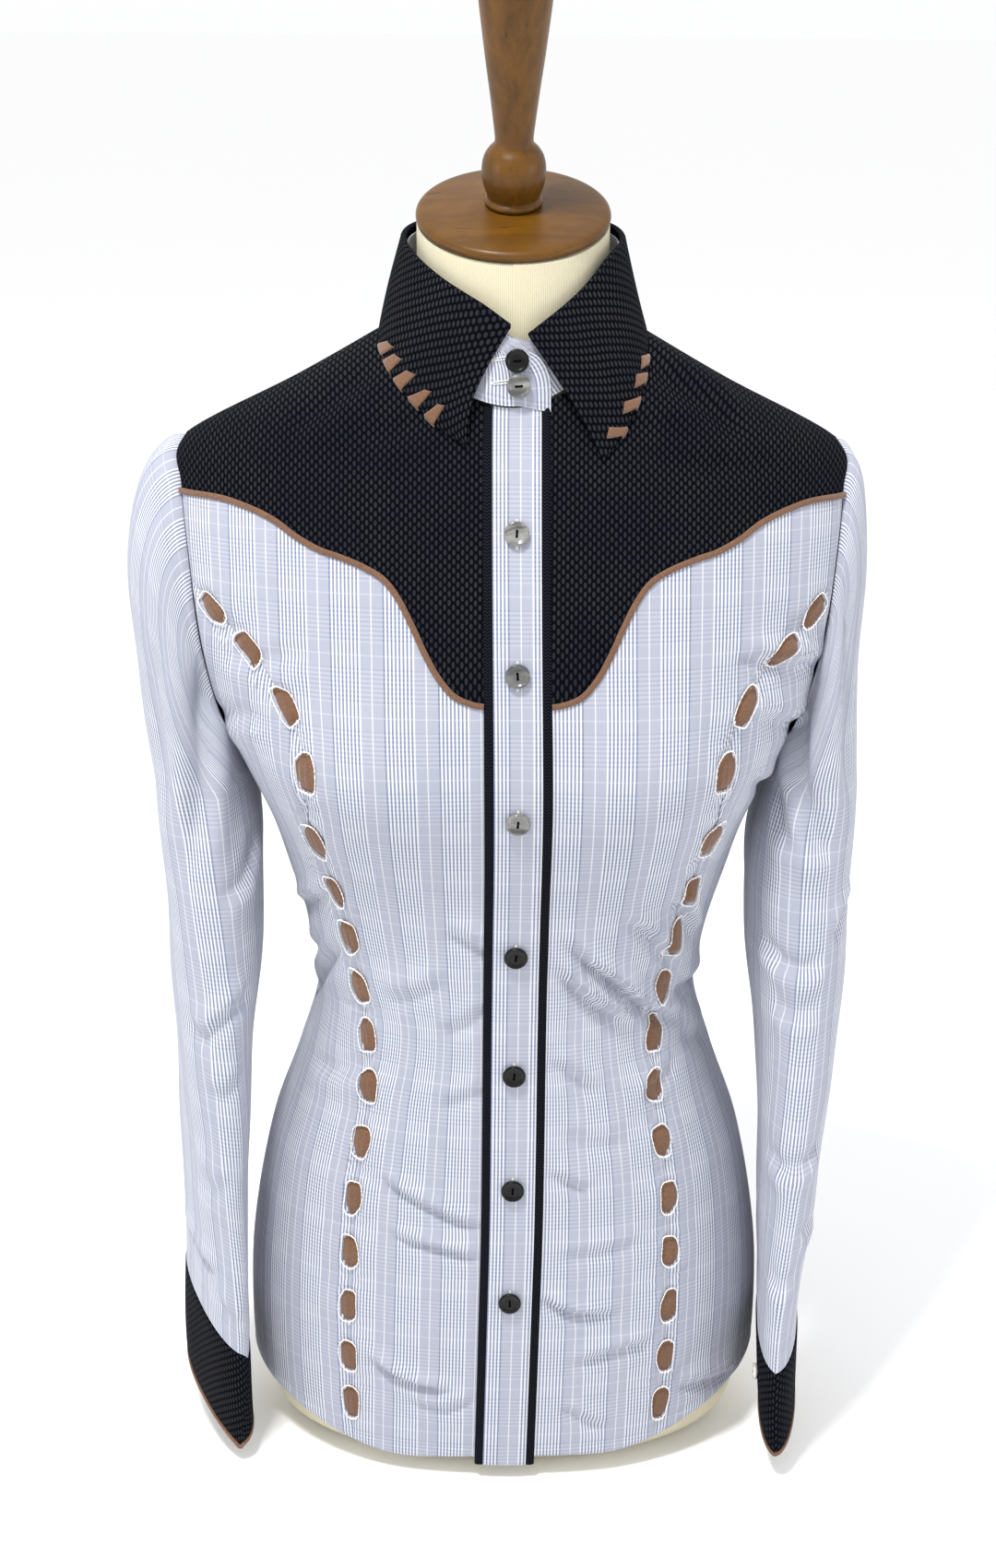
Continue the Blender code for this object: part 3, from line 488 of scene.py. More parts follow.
class Shirt:
    """The worn shirt's surface, with its folds, creases and lacing puckers.

    Its constants are the creases' strength, the spacing of the table's levels, the turn whose length
    stands for the height along the cloth, the radius that folds are measured on, the length of a degree of
    turn at the laced seam, the climb that the seam's lean is taken over, and the depth of a stitch's dip.
    """

    crispness: float = 2.4
    level_step: float = 5.0
    rise_turn: float = 20
    mean_radius: float = 115
    degree_length: float = 1.92
    climb: float = 16.0
    dip_depth: float = 1.3

    def __init__(self) -> None:
        """Prepares the outline and the lengths of the threads over it."""
        self.outline = Outline(Curve(SHIRT))
        self.twist = Curve(TWIST)
        self.princess = Curve(PRINCESS)
        self.squeeze = Curve(SQUEEZE)
        self.turns, self.levels = np.arange(-200.0, 401.0), np.arange(-30.0, 746.0, self.level_step)
        turn, level = np.meshgrid(self.turns, self.levels)
        points = self.plain(turn, level)
        self.table = run_along(points, 1)
        self.rise = run_along(points[:, np.searchsorted(self.turns, self.rise_turn)])
        self.laced = {side: self.stitches(side) for side in Side}
        creases = FRONT_CREASES + BACK_CREASES + YOKE_CREASES
        self.creases = [(c, [(float(self.across(a, b)), b) for a, b in c.path]) for c in creases]

    def plain(self, turn: Grid, level: Grid) -> Grid:
        """Points on the shirt with no folds in it."""
        shifted = (np.asarray(turn, float) + 180) % 360 - 180
        share = np.maximum(0, 1 - (shifted / 90) ** 2)
        return self.outline.point(turn + self.twist(level) * share, level)

    def facing(self, turn: Grid, level: Grid) -> Grid:
        """The direction that the cloth faces at each place."""
        round_it = self.plain(turn + 0.5, level) - self.plain(turn - 0.5, level)
        up_it = self.plain(turn, level + 1) - self.plain(turn, level - 1)
        return unit(np.cross(round_it, up_it))

    def across(self, turn: Grid, level: Grid) -> Grid:
        """How far round the shirt each place lies, along its level, in millimetres."""
        column = np.clip(np.asarray(turn, float) - self.turns[0], 0, len(self.turns) - 1.001)
        row = (np.asarray(level, float) - self.levels[0]) / self.level_step
        row = np.clip(row, 0, len(self.levels) - 1.001)
        column, row = np.broadcast_arrays(column, row)
        c, r = column.astype(int), row.astype(int)
        u, v = column - c, row - r
        low = self.table[r, c] * (1 - u) + self.table[r, c + 1] * u
        high = self.table[r + 1, c] * (1 - u) + self.table[r + 1, c + 1] * u
        zero = int(-self.turns[0])
        start = self.table[r, zero] * (1 - v) + self.table[r + 1, zero] * v
        return low * (1 - v) + high * v - start

    def along(self, level: Grid) -> Grid:
        """How far up the shirt each level lies, along the cloth."""
        return np.interp(level, self.levels, self.rise)

    def soft_folds(self, turn: Grid, level: Grid) -> Grid:
        """How far the soft folds stand out."""
        total = np.zeros(np.broadcast(turn, level).shape)
        for fold in FOLDS:
            aside = np.radians((turn - fold.turn + 180) % 360 - 180) * self.mean_radius
            up, lean = level - fold.level, math.radians(fold.lean)
            run = up * math.cos(lean) + aside * math.sin(lean)
            off = aside * math.cos(lean) - up * math.sin(lean)
            total = total + fold.height * bell(run, fold.length) * bell(off, fold.width)
        return total

    def stitches(self, side: Side) -> list[tuple[float, float]]:
        """The middle of each lacing stitch, as turn and level."""
        return [(side.value * float(self.princess(level)), level) for level in LACE_LEVELS]

    def relief(self, turn: Grid, level: Grid) -> tuple[Grid, Grid]:
        """The creases and puckers.

        Args:
            turn: the places' turns, from -180 to 360.
            level: the places' levels.

        Returns:
            How far the cloth stands out, and how far its threads are dragged sideways.
        """
        x = self.across(turn, level)
        height, pull = np.zeros(x.shape), np.zeros(x.shape)
        for crease, path in self.creases:
            more, drag = crease.press(x, level, path)
            height, pull = height + self.crispness * more, pull + drag
        for side in Side:
            height = height + self.puckers(x, level, self.laced[side])
        return height, pull

    def grown(self, level: float) -> tuple[float, float]:
        """How much wider and longer than usual the stitches are at a level."""
        wide, tall = (float(np.interp(level, *zip(*table))) for table in (STITCH_WIDTHS, STITCH_LENGTHS))
        return wide, tall

    def seam_lean(self, level: float) -> float:
        """How far round the princess seam moves over a short climb past a level."""
        return float(self.princess(level + self.climb / 2) - self.princess(level - self.climb / 2))

    def puckers(self, x: Grid, level: Grid, stitches: Sequence[tuple[float, float]]) -> Grid:
        """The dimples between a seam's stitches, and the small ripples that run out of them."""
        total = np.zeros(x.shape)
        for number, (low, high) in enumerate(zip(stitches, stitches[1:])):
            level_mid = (low[1] + high[1]) / 2
            x_mid = float(self.across((low[0] + high[0]) / 2, level_mid))
            dx, dy = x - x_mid, level - level_mid
            far, bearing = np.hypot(dx, dy), np.arctan2(dy, dx)
            force = 0.7 + 0.6 * float(uneven(number, x_mid))
            ripples = np.cos(9 * bearing + 6 * force) * bell(far - 9, 6.5)
            slow = np.cos(2 * bearing + 3 * force) * bell(far - 17, 11)
            total = total + force * (0.42 * ripples + 0.65 * slow - 1.5 * bell(dx, 6) * bell(dy, 8))
        for number, (turn, at) in enumerate(stitches):
            ahead = self.seam_lean(at) * math.copysign(self.degree_length, turn)
            slope = math.hypot(ahead, self.climb)
            dx, dy = x - float(self.across(turn, at)), level - at
            a, b = (dx * self.climb - dy * ahead) / slope, (dy * self.climb + dx * ahead) / slope
            wide, tall = self.grown(at)
            size = (np.abs(a / 5.4 / wide) ** 2.5 + np.abs(b / 11.2 / tall) ** 2.5) ** 0.4
            sunk = eased((1.24 - size) / 0.4)
            total = total * (1 - sunk) - self.dip_depth * sunk
        return total

    def surface(self, turn: Grid, level: Grid, out: Grid | float = 0.0, creased: float = 1.0) -> Grid:
        """Points on the worn shirt.

        Args:
            turn: the places' turns.
            level: the places' levels.
            out: how far the points stand out from the cloth.
            creased: the share of the creases that shows.

        Returns:
            Points in millimetres.
        """
        turn, level = np.broadcast_arrays(np.asarray(turn, float), np.asarray(level, float))
        stand = self.soft_folds(turn, level) + out
        if creased:
            stand = stand + creased * self.relief(turn, level)[0]
        return self.plain(turn, level) + self.facing(turn, level) * stand[..., None]


def coons(bottom: Grid, top: Grid, first: Grid, last: Grid) -> tuple[Grid, Grid]:
    """Fills the space between four edges of turns and levels that share their corners.

    Args:
        bottom: the lower edge, one place a row.
        top: the upper edge.
        first: the edge at the columns' start, going up.
        last: the edge at their end.

    Returns:
        The turns and the levels of a grid whose rows go up.
    """
    v = np.linspace(0, 1, len(first))[:, None, None]
    u = np.linspace(0, 1, len(bottom))[None, :, None]
    grid = (
        (1 - v) * bottom[None] + v * top[None] + (1 - u) * first[:, None] + u * last[:, None]
        - (1 - u) * ((1 - v) * bottom[0] + v * top[0]) - u * ((1 - v) * bottom[-1] + v * top[-1])
    )
    return grid[..., 0], grid[..., 1]


def edge_gap(points: Grid) -> Grid:
    """How far each point of a grid lies from the grid's nearest edge, along its rows and columns."""
    gaps = []
    for axis in (0, 1):
        run = run_along(points, axis)
        gaps.append(np.minimum(run, np.take(run, [-1], axis=axis) - run))
    return np.minimum(*gaps)


# ---- Meshes ----


class Sheet(NamedTuple):
    """What a cloth piece was cut from: width and length of the cut and its area, in metres."""

    width: float
    length: float
    area: float


def add_mesh(name: str, points: Grid, faces: Sequence[Sequence[int]], cut: Grid | None = None,
             sharp: float = 60.0) -> bpy.types.Object:
    """Adds a smooth mesh to the scene.

    Args:
        name: the piece's name.
        points: its points in millimetres.
        faces: the point numbers of each face.
        cut: where each point lies on its flat cut, in millimetres, for the weave.
        sharp: the angle in degrees past which an edge stays sharp.

    Returns:
        The new object.
    """
    mesh = bpy.data.meshes.new(name)
    mesh.from_pydata((np.asarray(points, float) * MM).tolist(), [], faces)
    mesh.shade_smooth()
    mesh.set_sharp_from_angle(angle=math.radians(sharp))
    if cut is not None:
        corners = np.empty(len(mesh.loops), np.int32)
        mesh.loops.foreach_get("vertex_index", corners)
        layer = mesh.uv_layers.new(name="Cut")
        layer.data.foreach_set("uv", (np.asarray(cut, float)[corners] * MM).astype(np.float32).ravel())
    piece = bpy.data.objects.new(name, mesh)
    bpy.context.scene.collection.objects.link(piece)
    return piece


def grid_faces(rows: int, columns: int, start: int = 0, inward: bool = False) -> Grid:
    """The faces of a grid of points numbered row by row."""
    i, j = np.meshgrid(np.arange(rows - 1), np.arange(columns - 1), indexing="ij")
    a = (start + i * columns + j).ravel()
    quads = np.stack([a, a + 1, a + 1 + columns, a + columns], axis=-1)
    return quads[:, ::-1] if inward else quads


def shell_faces(rows: int, columns: int) -> Grid:
    """The faces of a closed shell: an outer grid of points, an inner one and the wall round them."""
    count = rows * columns
    order = np.arange(count).reshape(rows, columns)
    rim = np.concatenate([order[0, :-1], order[:-1, -1], order[-1, :0:-1], order[:0:-1, 0]])
    after = np.roll(rim, -1)
    wall = np.stack([after, rim, rim + count, after + count], axis=-1)
    return np.concatenate([grid_faces(rows, columns), grid_faces(rows, columns, count, True), wall])


def tube_faces(start: int, rings: int, corners: int, closed: bool = False,
               inward: bool = False) -> list[tuple[int, ...]]:
    """The side faces of a tube.

    Args:
        start: the number of its first point.
        rings: how many rings of points it has.
        corners: how many points a ring has.
        closed: whether its last ring meets its first.
        inward: whether the faces are wound the other way.

    Returns:
        The point numbers of each face.
    """
    faces, count = [], rings * corners
    for i in range(rings if closed else rings - 1):
        for j in range(corners):
            a, b = i * corners + j, i * corners + (j + 1) % corners
            c, d = (a + corners) % count, (b + corners) % count
            quad = (a, c, d, b) if inward else (a, b, d, c)
            faces.append(tuple(start + k for k in quad))
    return faces


def ring_face(start: int, corners: int, inward: bool = False) -> tuple[int, ...]:
    """The flat face that closes a ring of points."""
    face = tuple(range(start, start + corners))
    return face[::-1] if inward else face


def shell_mesh(name: str, outer: Grid, inner: Grid, cut: Grid, mirrored: bool = False) -> bpy.types.Object:
    """Adds a thin closed shell between two grids.

    Args:
        name: the piece's name.
        outer: the outer grid of points, rows by columns.
        inner: the inner grid.
        cut: where each point lies on the flat cut.
        mirrored: whether the columns run the other way, so the faces have to be turned.

    Returns:
        The new object.
    """
    faces = shell_faces(*outer.shape[:2])
    if mirrored:
        faces = faces[:, ::-1]
    points = np.concatenate([outer.reshape(-1, 3), inner.reshape(-1, 3)])
    return add_mesh(name, points, faces.tolist(), np.tile(cut.reshape(-1, 2), (2, 1)))


def sheet_of(outer: Grid, cut: Grid) -> Sheet:
    """The flat cut of a grid of cloth, from the spread of its threads and its own area."""
    a = outer[1:, 1:] - outer[:-1, :-1]
    b = outer[1:, :-1] - outer[:-1, 1:]
    area = float(np.linalg.norm(np.cross(a, b), axis=-1).sum() / 2) * MM * MM
    width, length = (float(np.ptp(cut[..., k])) * MM for k in (0, 1))
    grow = max(1.0, area / (width * length) * 1.002)
    return Sheet(width * grow, length, area)


def sweep_mesh(name: str, middle: Grid, across: Grid, facing: Grid, profile: Sequence[tuple[float, float]],
               closed: bool = False, along: Grid | None = None) -> bpy.types.Object:
    """Adds a trim: a closed profile carried along a line.

    Args:
        name: the piece's name.
        middle: the line's points.
        across: unit vectors across the trim at each point.
        facing: unit vectors out of the cloth at each point.
        profile: the profile's corners, as distances across and out.
        closed: whether the line meets itself.
        along: how far along the weave each point lies, or its own length by default.

    Returns:
        The new object.
    """
    shape = np.array(profile, float)
    count, corners = len(middle), len(shape)
    points = middle[:, None] + across[:, None] * shape[None, :, :1] + facing[:, None] * shape[None, :, 1:]
    if along is None:
        along = run_along(middle)
    cut = np.stack(np.broadcast_arrays(shape[None, :, 0], along[:, None]), axis=-1)
    faces = tube_faces(0, count, corners, closed)
    if not closed:
        faces += [ring_face(0, corners, inward=True), ring_face((count - 1) * corners, corners)]
    return add_mesh(name, points.reshape(-1, 3), faces, cut.reshape(-1, 2))


def turned_mesh(name: str, profile: Sequence[tuple[float, float]], sides: int,
                place: Matrix) -> bpy.types.Object:
    """Adds a turned body from heights and radii that start and end on the axis.

    Args:
        name: the piece's name.
        profile: the height and radius of each ring.
        sides: how many sides the body has.
        place: where its own Z axis stands, in millimetres.

    Returns:
        The new object.
    """
    angle = np.linspace(0, 2 * np.pi, sides, endpoint=False)
    rows = [np.array([[0.0, 0.0, profile[0][0]]])]
    for height, radius in profile[1:-1]:
        rows.append(np.stack([radius * np.cos(angle), radius * np.sin(angle), np.full(sides, height)], -1))
    rows.append(np.array([[0.0, 0.0, profile[-1][0]]]))
    points = np.concatenate(rows)
    last = len(points) - 1
    faces = tube_faces(1, len(profile) - 2, sides)
    for k in range(sides):
        after = (k + 1) % sides
        faces += [(0, 1 + after, 1 + k), (last - sides + k, last - sides + after, last)]
    cut = np.stack([np.degrees(np.arctan2(points[:, 1], points[:, 0])), points[:, 2]], axis=-1)
    turn, shift = np.array(place.to_3x3()), np.array(place.translation)
    return add_mesh(name, points @ turn.T + shift, faces, cut, 45)


def rounded(profile: Sequence[tuple[float, float]], share: float = 0.35) -> list[tuple[float, float]]:
    """A profile with more points, and its corners cut round."""
    table = np.array(profile, float)
    fine = [table[0]]
    for before, corner, after in zip(table, table[1:], table[2:]):
        start, end = corner + (before - corner) * share, corner + (after - corner) * share
        for t in np.linspace(0, 1, 5):
            fine.append((1 - t) ** 2 * start + 2 * t * (1 - t) * corner + t * t * end)
    fine.append(table[-1])
    return [(float(a), float(b)) for a, b in fine]


# ---- Shader graphs ----

Feed = bpy.types.NodeSocket | float | tuple


class Graph:
    """Makes and joins the nodes of one tree."""

    def __init__(self, tree: bpy.types.NodeTree) -> None:
        """Keeps the tree that the nodes go in."""
        self.tree = tree

    def feed(self, socket: bpy.types.NodeSocket, value: Feed) -> None:
        """Links a socket to another, or sets its own value."""
        if isinstance(value, bpy.types.NodeSocket):
            self.tree.links.new(value, socket)
        elif isinstance(value, tuple) and socket.type == "RGBA" and len(value) == 3:
            socket.default_value = (*value, 1.0)
        else:
            socket.default_value = value

    def add(self, kind: str, inputs: dict[str | int, Feed] | None = None,
            **settings: object) -> bpy.types.Node:
        """Adds a node.

        Args:
            kind: the node's type name.
            inputs: what goes in its sockets, by their names or places.
            settings: its own settings.

        Returns:
            The new node.
        """
        node = self.tree.nodes.new(kind)
        for name, value in settings.items():
            setattr(node, name, value)
        for socket, value in (inputs or {}).items():
            self.feed(node.inputs[socket], value)
        return node

    def math(self, operation: str, a: Feed, b: Feed = 0.0, c: Feed = 0.0) -> bpy.types.NodeSocket:
        """The result of a calculation with up to three values."""
        return self.add("ShaderNodeMath", {0: a, 1: b, 2: c}, operation=operation).outputs[0]

    def ease(self, value: Feed, low: float, high: float) -> bpy.types.NodeSocket:
        """A share that rises smoothly from 0 at the low value to 1 at the high one."""
        inputs = {"Value": value, "From Min": low, "From Max": high}
        return self.add("ShaderNodeMapRange", inputs, interpolation_type="SMOOTHSTEP").outputs[0]

    def scaled(self, value: Feed, low: float, high: float) -> bpy.types.NodeSocket:
        """A value from 0 to 1, stretched to run from low to high."""
        inputs = {"Value": value, "To Min": low, "To Max": high}
        return self.add("ShaderNodeMapRange", inputs).outputs[0]

    def mix(self, share: Feed, a: Feed, b: Feed) -> bpy.types.NodeSocket:
        """A colour between two others."""
        node = self.add("ShaderNodeMix", data_type="RGBA")
        self.feed(node.inputs["Factor"], share)
        colours = [s for s in node.inputs if s.type == "RGBA"]
        self.feed(colours[0], a)
        self.feed(colours[1], b)
        return next(s for s in node.outputs if s.type == "RGBA")

    def noise(self, vector: Feed, scale: float, detail: float = 2.0, rough: float = 0.5,
              distort: float = 0.0) -> bpy.types.NodeSocket:
        """Cloudy noise at some places."""
        inputs = {"Vector": vector, "Scale": scale, "Detail": detail, "Roughness": rough,
                  "Distortion": distort}
        return self.add("ShaderNodeTexNoise", inputs).outputs[0]

    def cut(self) -> tuple[bpy.types.NodeSocket, bpy.types.NodeSocket]:
        """The places on the flat cut, in millimetres: across it and along it."""
        places = self.add("ShaderNodeUVMap", uv_map="Cut").outputs[0]
        across, along, _ = self.add("ShaderNodeSeparateXYZ", {0: places}).outputs
        return self.math("MULTIPLY", across, 1 / MM), self.math("MULTIPLY", along, 1 / MM)

    def where(self) -> bpy.types.NodeSocket:
        """Places on the piece in its own frame, in metres."""
        return self.add("ShaderNodeTexCoord").outputs["Object"]

    def stretch(self, vector: Feed, x: float, y: float, z: float) -> bpy.types.NodeSocket:
        """Places scaled differently along each axis."""
        return self.add("ShaderNodeMapping", {"Vector": vector, "Scale": (x, y, z)}).outputs[0]


class Group:
    """A shader node group with named sockets, built once and placed in several materials."""

    def __init__(self, name: str, inputs: dict[str, float | tuple], outputs: Sequence[str],
                 fill: Callable[[Graph, dict, dict], None]) -> None:
        """Builds the group.

        Args:
            name: the group's name.
            inputs: its inputs and their first values, three numbers for a colour.
            outputs: its outputs; one whose name ends in Color is a colour.
            fill: makes the nodes between the inputs and the outputs.
        """
        self.tree = bpy.data.node_groups.new(name, "ShaderNodeTree")
        for label, value in inputs.items():
            kind = "NodeSocketColor" if isinstance(value, tuple) else "NodeSocketFloat"
            made = self.tree.interface.new_socket(name=label, in_out="INPUT", socket_type=kind)
            made.default_value = (*value, 1.0) if isinstance(value, tuple) else value
        for label in outputs:
            kind = "NodeSocketColor" if label.endswith("Color") else "NodeSocketFloat"
            self.tree.interface.new_socket(name=label, in_out="OUTPUT", socket_type=kind)
        source = self.tree.nodes.new("NodeGroupInput").outputs
        target = self.tree.nodes.new("NodeGroupOutput").inputs
        graph = Graph(self.tree)
        fill(graph, {s.name: s for s in source if s.name}, {s.name: s for s in target if s.name})

    def place(self, graph: Graph, **values: Feed) -> dict[str, bpy.types.NodeSocket]:
        """Puts the group in a material.

        Args:
            graph: the material's graph.
            values: what goes in its inputs, by their names.

        Returns:
            Its outputs by name.
        """
        node = graph.tree.nodes.new("ShaderNodeGroup")
        node.node_tree = self.tree
        for name, value in values.items():
            graph.feed(node.inputs[name], value)
        return {s.name: s for s in node.outputs}


def fill_stripes(g: Graph, source: dict, target: dict) -> None:
    """Bands of fine stripes with a thin line in the middle of each gap."""
    place = g.math("FLOORED_MODULO", source["Distance"], source["Repeat"])
    inside = g.math("LESS_THAN", place, source["Band"])
    wave = g.math("SINE", g.math("MULTIPLY", g.math("DIVIDE", place, source["Pitch"]), math.tau))
    light = g.ease(wave, -0.45, 0.35)
    g.feed(target["Light"], g.math("MULTIPLY", light, inside))
    g.feed(target["Dark"], g.math("MULTIPLY", g.math("SUBTRACT", 1.0, light), inside))
    centre = g.math("MULTIPLY", g.math("ADD", source["Repeat"], source["Band"]), 0.5)
    off = g.math("ABSOLUTE", g.math("SUBTRACT", place, centre))
    g.feed(target["Line"], g.ease(off, 0.5, 0.22))


def fill_weave(g: Graph, source: dict, target: dict) -> None:
    """The small over and under of the yarns of a plain weave."""

    def yarns(name: str) -> bpy.types.NodeSocket:
        """The angle that one way's yarns have reached in their wave."""
        return g.math("MULTIPLY", g.math("DIVIDE", source[name], source["Yarn"]), math.pi)
    crossing = g.math("MULTIPLY", g.math("SINE", yarns("Across")), g.math("SINE", yarns("Along")))
    g.feed(target["Relief"], g.math("ABSOLUTE", crossing))


def fill_mottle(g: Graph, source: dict, target: dict) -> None:
    """Slow changes of shade over a surface, from washing, dye and handling."""
    places = g.where()
    broad = g.noise(places, 14.0, 3.0, 0.55)
    fine = g.noise(places, 90.0, 2.0, 0.6)
    blend = g.math("ADD", g.math("MULTIPLY", broad, 0.7), g.math("MULTIPLY", fine, 0.3))
    share = g.math("MULTIPLY", g.ease(blend, 0.35, 0.65), source["Amount"])
    g.feed(target["Color"], g.mix(share, source["First"], source["Second"]))


def fill_dobby(g: Graph, source: dict, target: dict) -> None:
    """Small woven lozenges in columns, each column half a step off the last."""
    column = g.math("DIVIDE", source["Across"], source["Column"])
    odd = g.math("FLOORED_MODULO", g.math("FLOOR", column), 2.0)
    row = g.math("ADD", g.math("DIVIDE", source["Along"], source["Row"]), g.math("MULTIPLY", odd, 0.5))
    a = g.math("MULTIPLY", g.math("SUBTRACT", g.math("FRACT", column), 0.5), 2.45)
    b = g.math("MULTIPLY", g.math("SUBTRACT", g.math("FRACT", row), 0.5), 2.75)
    size = g.math("SQRT", g.math("ADD", g.math("MULTIPLY", a, a), g.math("MULTIPLY", b, b)))
    g.feed(target["Lozenge"], g.ease(size, 1.04, 0.72))
    dome = g.math("SQRT", g.math("MAXIMUM", g.math("SUBTRACT", 1.0, g.math("MULTIPLY", size, size)), 0.0))
    g.feed(target["Relief"], dome)


STRIPES = Group("stripe_bands", {"Distance": 0.0, "Repeat": 30.6, "Band": 17.6, "Pitch": 2.2},
                ("Light", "Dark", "Line"), fill_stripes)
WEAVE = Group("plain_weave", {"Across": 0.0, "Along": 0.0, "Yarn": 0.45}, ("Relief",), fill_weave)
MOTTLE = Group("mottle", {"First": (0.5, 0.5, 0.5), "Second": (0.4, 0.4, 0.4), "Amount": 1.0},
               ("Color",), fill_mottle)
DOBBY = Group("dobby_lozenges", {"Across": 0.0, "Along": 0.0, "Column": 2.5, "Row": 5.0},
              ("Lozenge", "Relief"), fill_dobby)


# ---- Finishes ----

Colour = tuple[float, float, float]


@dataclass(frozen=True)
class Finish:
    """What every finish has: a name, a record slot and the shader's own values."""

    name: str
    slot: str
    roughness: float = 0.8
    sheen: float = 0.0
    coat: float = 0.0
    gloss: float = 0.5

    def build(self) -> bpy.types.Material:
        """Makes the material, with its shader fed by the finish's own nodes."""
        made = bpy.data.materials.new(self.name)
        made.use_nodes = True
        graph = Graph(made.node_tree)
        shader = made.node_tree.nodes["Principled BSDF"]
        values = {"Roughness": self.roughness, "Sheen Weight": self.sheen, "Sheen Roughness": 0.5,
                  "Coat Weight": self.coat, "Specular IOR Level": self.gloss, "Coat Roughness": 0.12}
        for name, value in values.items():
            shader.inputs[name].default_value = value
        self.dress(graph, shader)
        return made

    def dress(self, graph: Graph, shader: bpy.types.Node) -> None:
        """Feeds the shader; each finish has its own way."""
        raise NotImplementedError

    def bump(self, graph: Graph, shader: bpy.types.Node, height: Feed, depth: float,
             strength: float = 1.0) -> None:
        """Feeds a height to the shader's normal.

        Args:
            graph: the material's graph.
            shader: its shader.
            height: the height, from 0 to 1.
            depth: how deep that is, in millimetres.
            strength: how much of it shows.
        """
        inputs = {"Height": height, "Distance": depth * MM, "Strength": strength}
        graph.feed(shader.inputs["Normal"], graph.add("ShaderNodeBump", inputs).outputs[0])


@dataclass(frozen=True)
class PlaidCotton(Finish):
    """Fine glen check: bands of white and slate stripes, crossed, with a thin white overcheck."""

    ground: Colour = (0.355, 0.375, 0.45)
    tint: Colour = (0.375, 0.385, 0.455)
    white: Colour = (0.70, 0.71, 0.73)
    slate: Colour = (0.12, 0.15, 0.26)
    repeat_along: float = 35.5
    band_along: float = 21.0
    pitch_along: float = 2.62

    def dress(self, graph: Graph, shader: bpy.types.Node) -> None:
        """Crosses the two sets of bands over the mottled ground."""
        across, along = graph.cut()
        warp = STRIPES.place(graph, Distance=across)
        weft = STRIPES.place(graph, Distance=along, Repeat=self.repeat_along, Band=self.band_along,
                             Pitch=self.pitch_along)
        colour = MOTTLE.place(graph, First=self.ground, Second=self.tint, Amount=0.9)["Color"]
        m = graph.math
        colour = graph.mix(m("MULTIPLY", weft["Dark"], 0.12), colour, self.slate)
        colour = graph.mix(m("MULTIPLY", weft["Light"], 0.13), colour, self.white)
        dark_share = m("ADD", 0.66, m("MULTIPLY", weft["Dark"], 0.18))
        dark_share = m("SUBTRACT", dark_share, m("MULTIPLY", weft["Light"], 0.08))
        colour = graph.mix(m("MULTIPLY", warp["Dark"], dark_share), colour, self.slate)
        light_share = m("SUBTRACT", 0.84, m("MULTIPLY", weft["Dark"], 0.16))
        colour = graph.mix(m("MULTIPLY", warp["Light"], light_share), colour, self.white)
        colour = graph.mix(m("MULTIPLY", weft["Line"], 0.26), colour, self.white)
        colour = graph.mix(m("MULTIPLY", warp["Line"], 0.66), colour, self.white)
        yarn = WEAVE.place(graph, Across=across, Along=along, Yarn=0.36)["Relief"]
        # Painted shade: the colour is pulled a little towards slate in the low gaps between the yarns, where
        # the weave's relief is lowest.
        colour = graph.mix(m("MULTIPLY", m("SUBTRACT", 1.0, yarn), 0.10), colour, self.slate)
        graph.feed(shader.inputs["Base Color"], colour)
        relief = m("ADD", m("MULTIPLY", yarn, 0.5), m("MULTIPLY", warp["Light"], 0.5))
        self.bump(graph, shader, relief, 0.12, 0.7)


@dataclass(frozen=True)
class BlackDobby(Finish):
    """Black cloth with small grey lozenges woven in staggered columns."""

    ground: Colour = (0.0010, 0.0012, 0.0034)
    lozenge: Colour = (0.030, 0.031, 0.032)
    lozenge_two: Colour = (0.018, 0.020, 0.028)
    column: float = 2.5
    row: float = 5.0

    def dress(self, graph: Graph, shader: bpy.types.Node) -> None:
        """Lays the lozenges on the dark ground."""
        across, along = graph.cut()
        shape = DOBBY.place(graph, Across=across, Along=along, Column=self.column, Row=self.row)
        grey = MOTTLE.place(graph, First=self.lozenge, Second=self.lozenge_two, Amount=1.0)["Color"]
        yarn = WEAVE.place(graph, Across=across, Along=along, Yarn=0.5)["Relief"]
        # Painted shade: the lozenges fade towards the dark ground in the low gaps between the yarns.
        share = graph.math("MULTIPLY", shape["Lozenge"], graph.scaled(yarn, 0.62, 1.0))
        graph.feed(shader.inputs["Base Color"], graph.mix(share, self.ground, grey))
        relief = graph.math("ADD", shape["Relief"], graph.math("MULTIPLY", yarn, 0.25))
        self.bump(graph, shader, relief, 0.32, 0.9)


@dataclass(frozen=True)
class TwistBand(Finish):
    """Narrow black band with slanting ribs."""

    ground: Colour = (0.0015, 0.0018, 0.004)
    rib: Colour = (0.019, 0.021, 0.028)
    pitch: float = 1.9

    def dress(self, graph: Graph, shader: bpy.types.Node) -> None:
        """Slants the ribs across the band."""
        across, along = graph.cut()
        m = graph.math
        bent = m("ABSOLUTE", m("SUBTRACT", m("FRACT", m("DIVIDE", across, 2.75)), 0.5))
        place = m("ADD", m("DIVIDE", along, self.pitch), m("MULTIPLY", bent, 1.4))
        wave = graph.ease(m("SINE", m("MULTIPLY", place, math.tau)), -0.6, 0.8)
        yarn = WEAVE.place(graph, Across=across, Along=along, Yarn=0.45)["Relief"]
        # Painted shade: the ribs fade towards the dark ground in the low gaps between the yarns.
        share = m("MULTIPLY", wave, graph.scaled(yarn, 0.5, 1.0))
        graph.feed(shader.inputs["Base Color"], graph.mix(share, self.ground, self.rib))
        self.bump(graph, shader, m("ADD", wave, m("MULTIPLY", yarn, 0.3)), 0.28, 0.9)


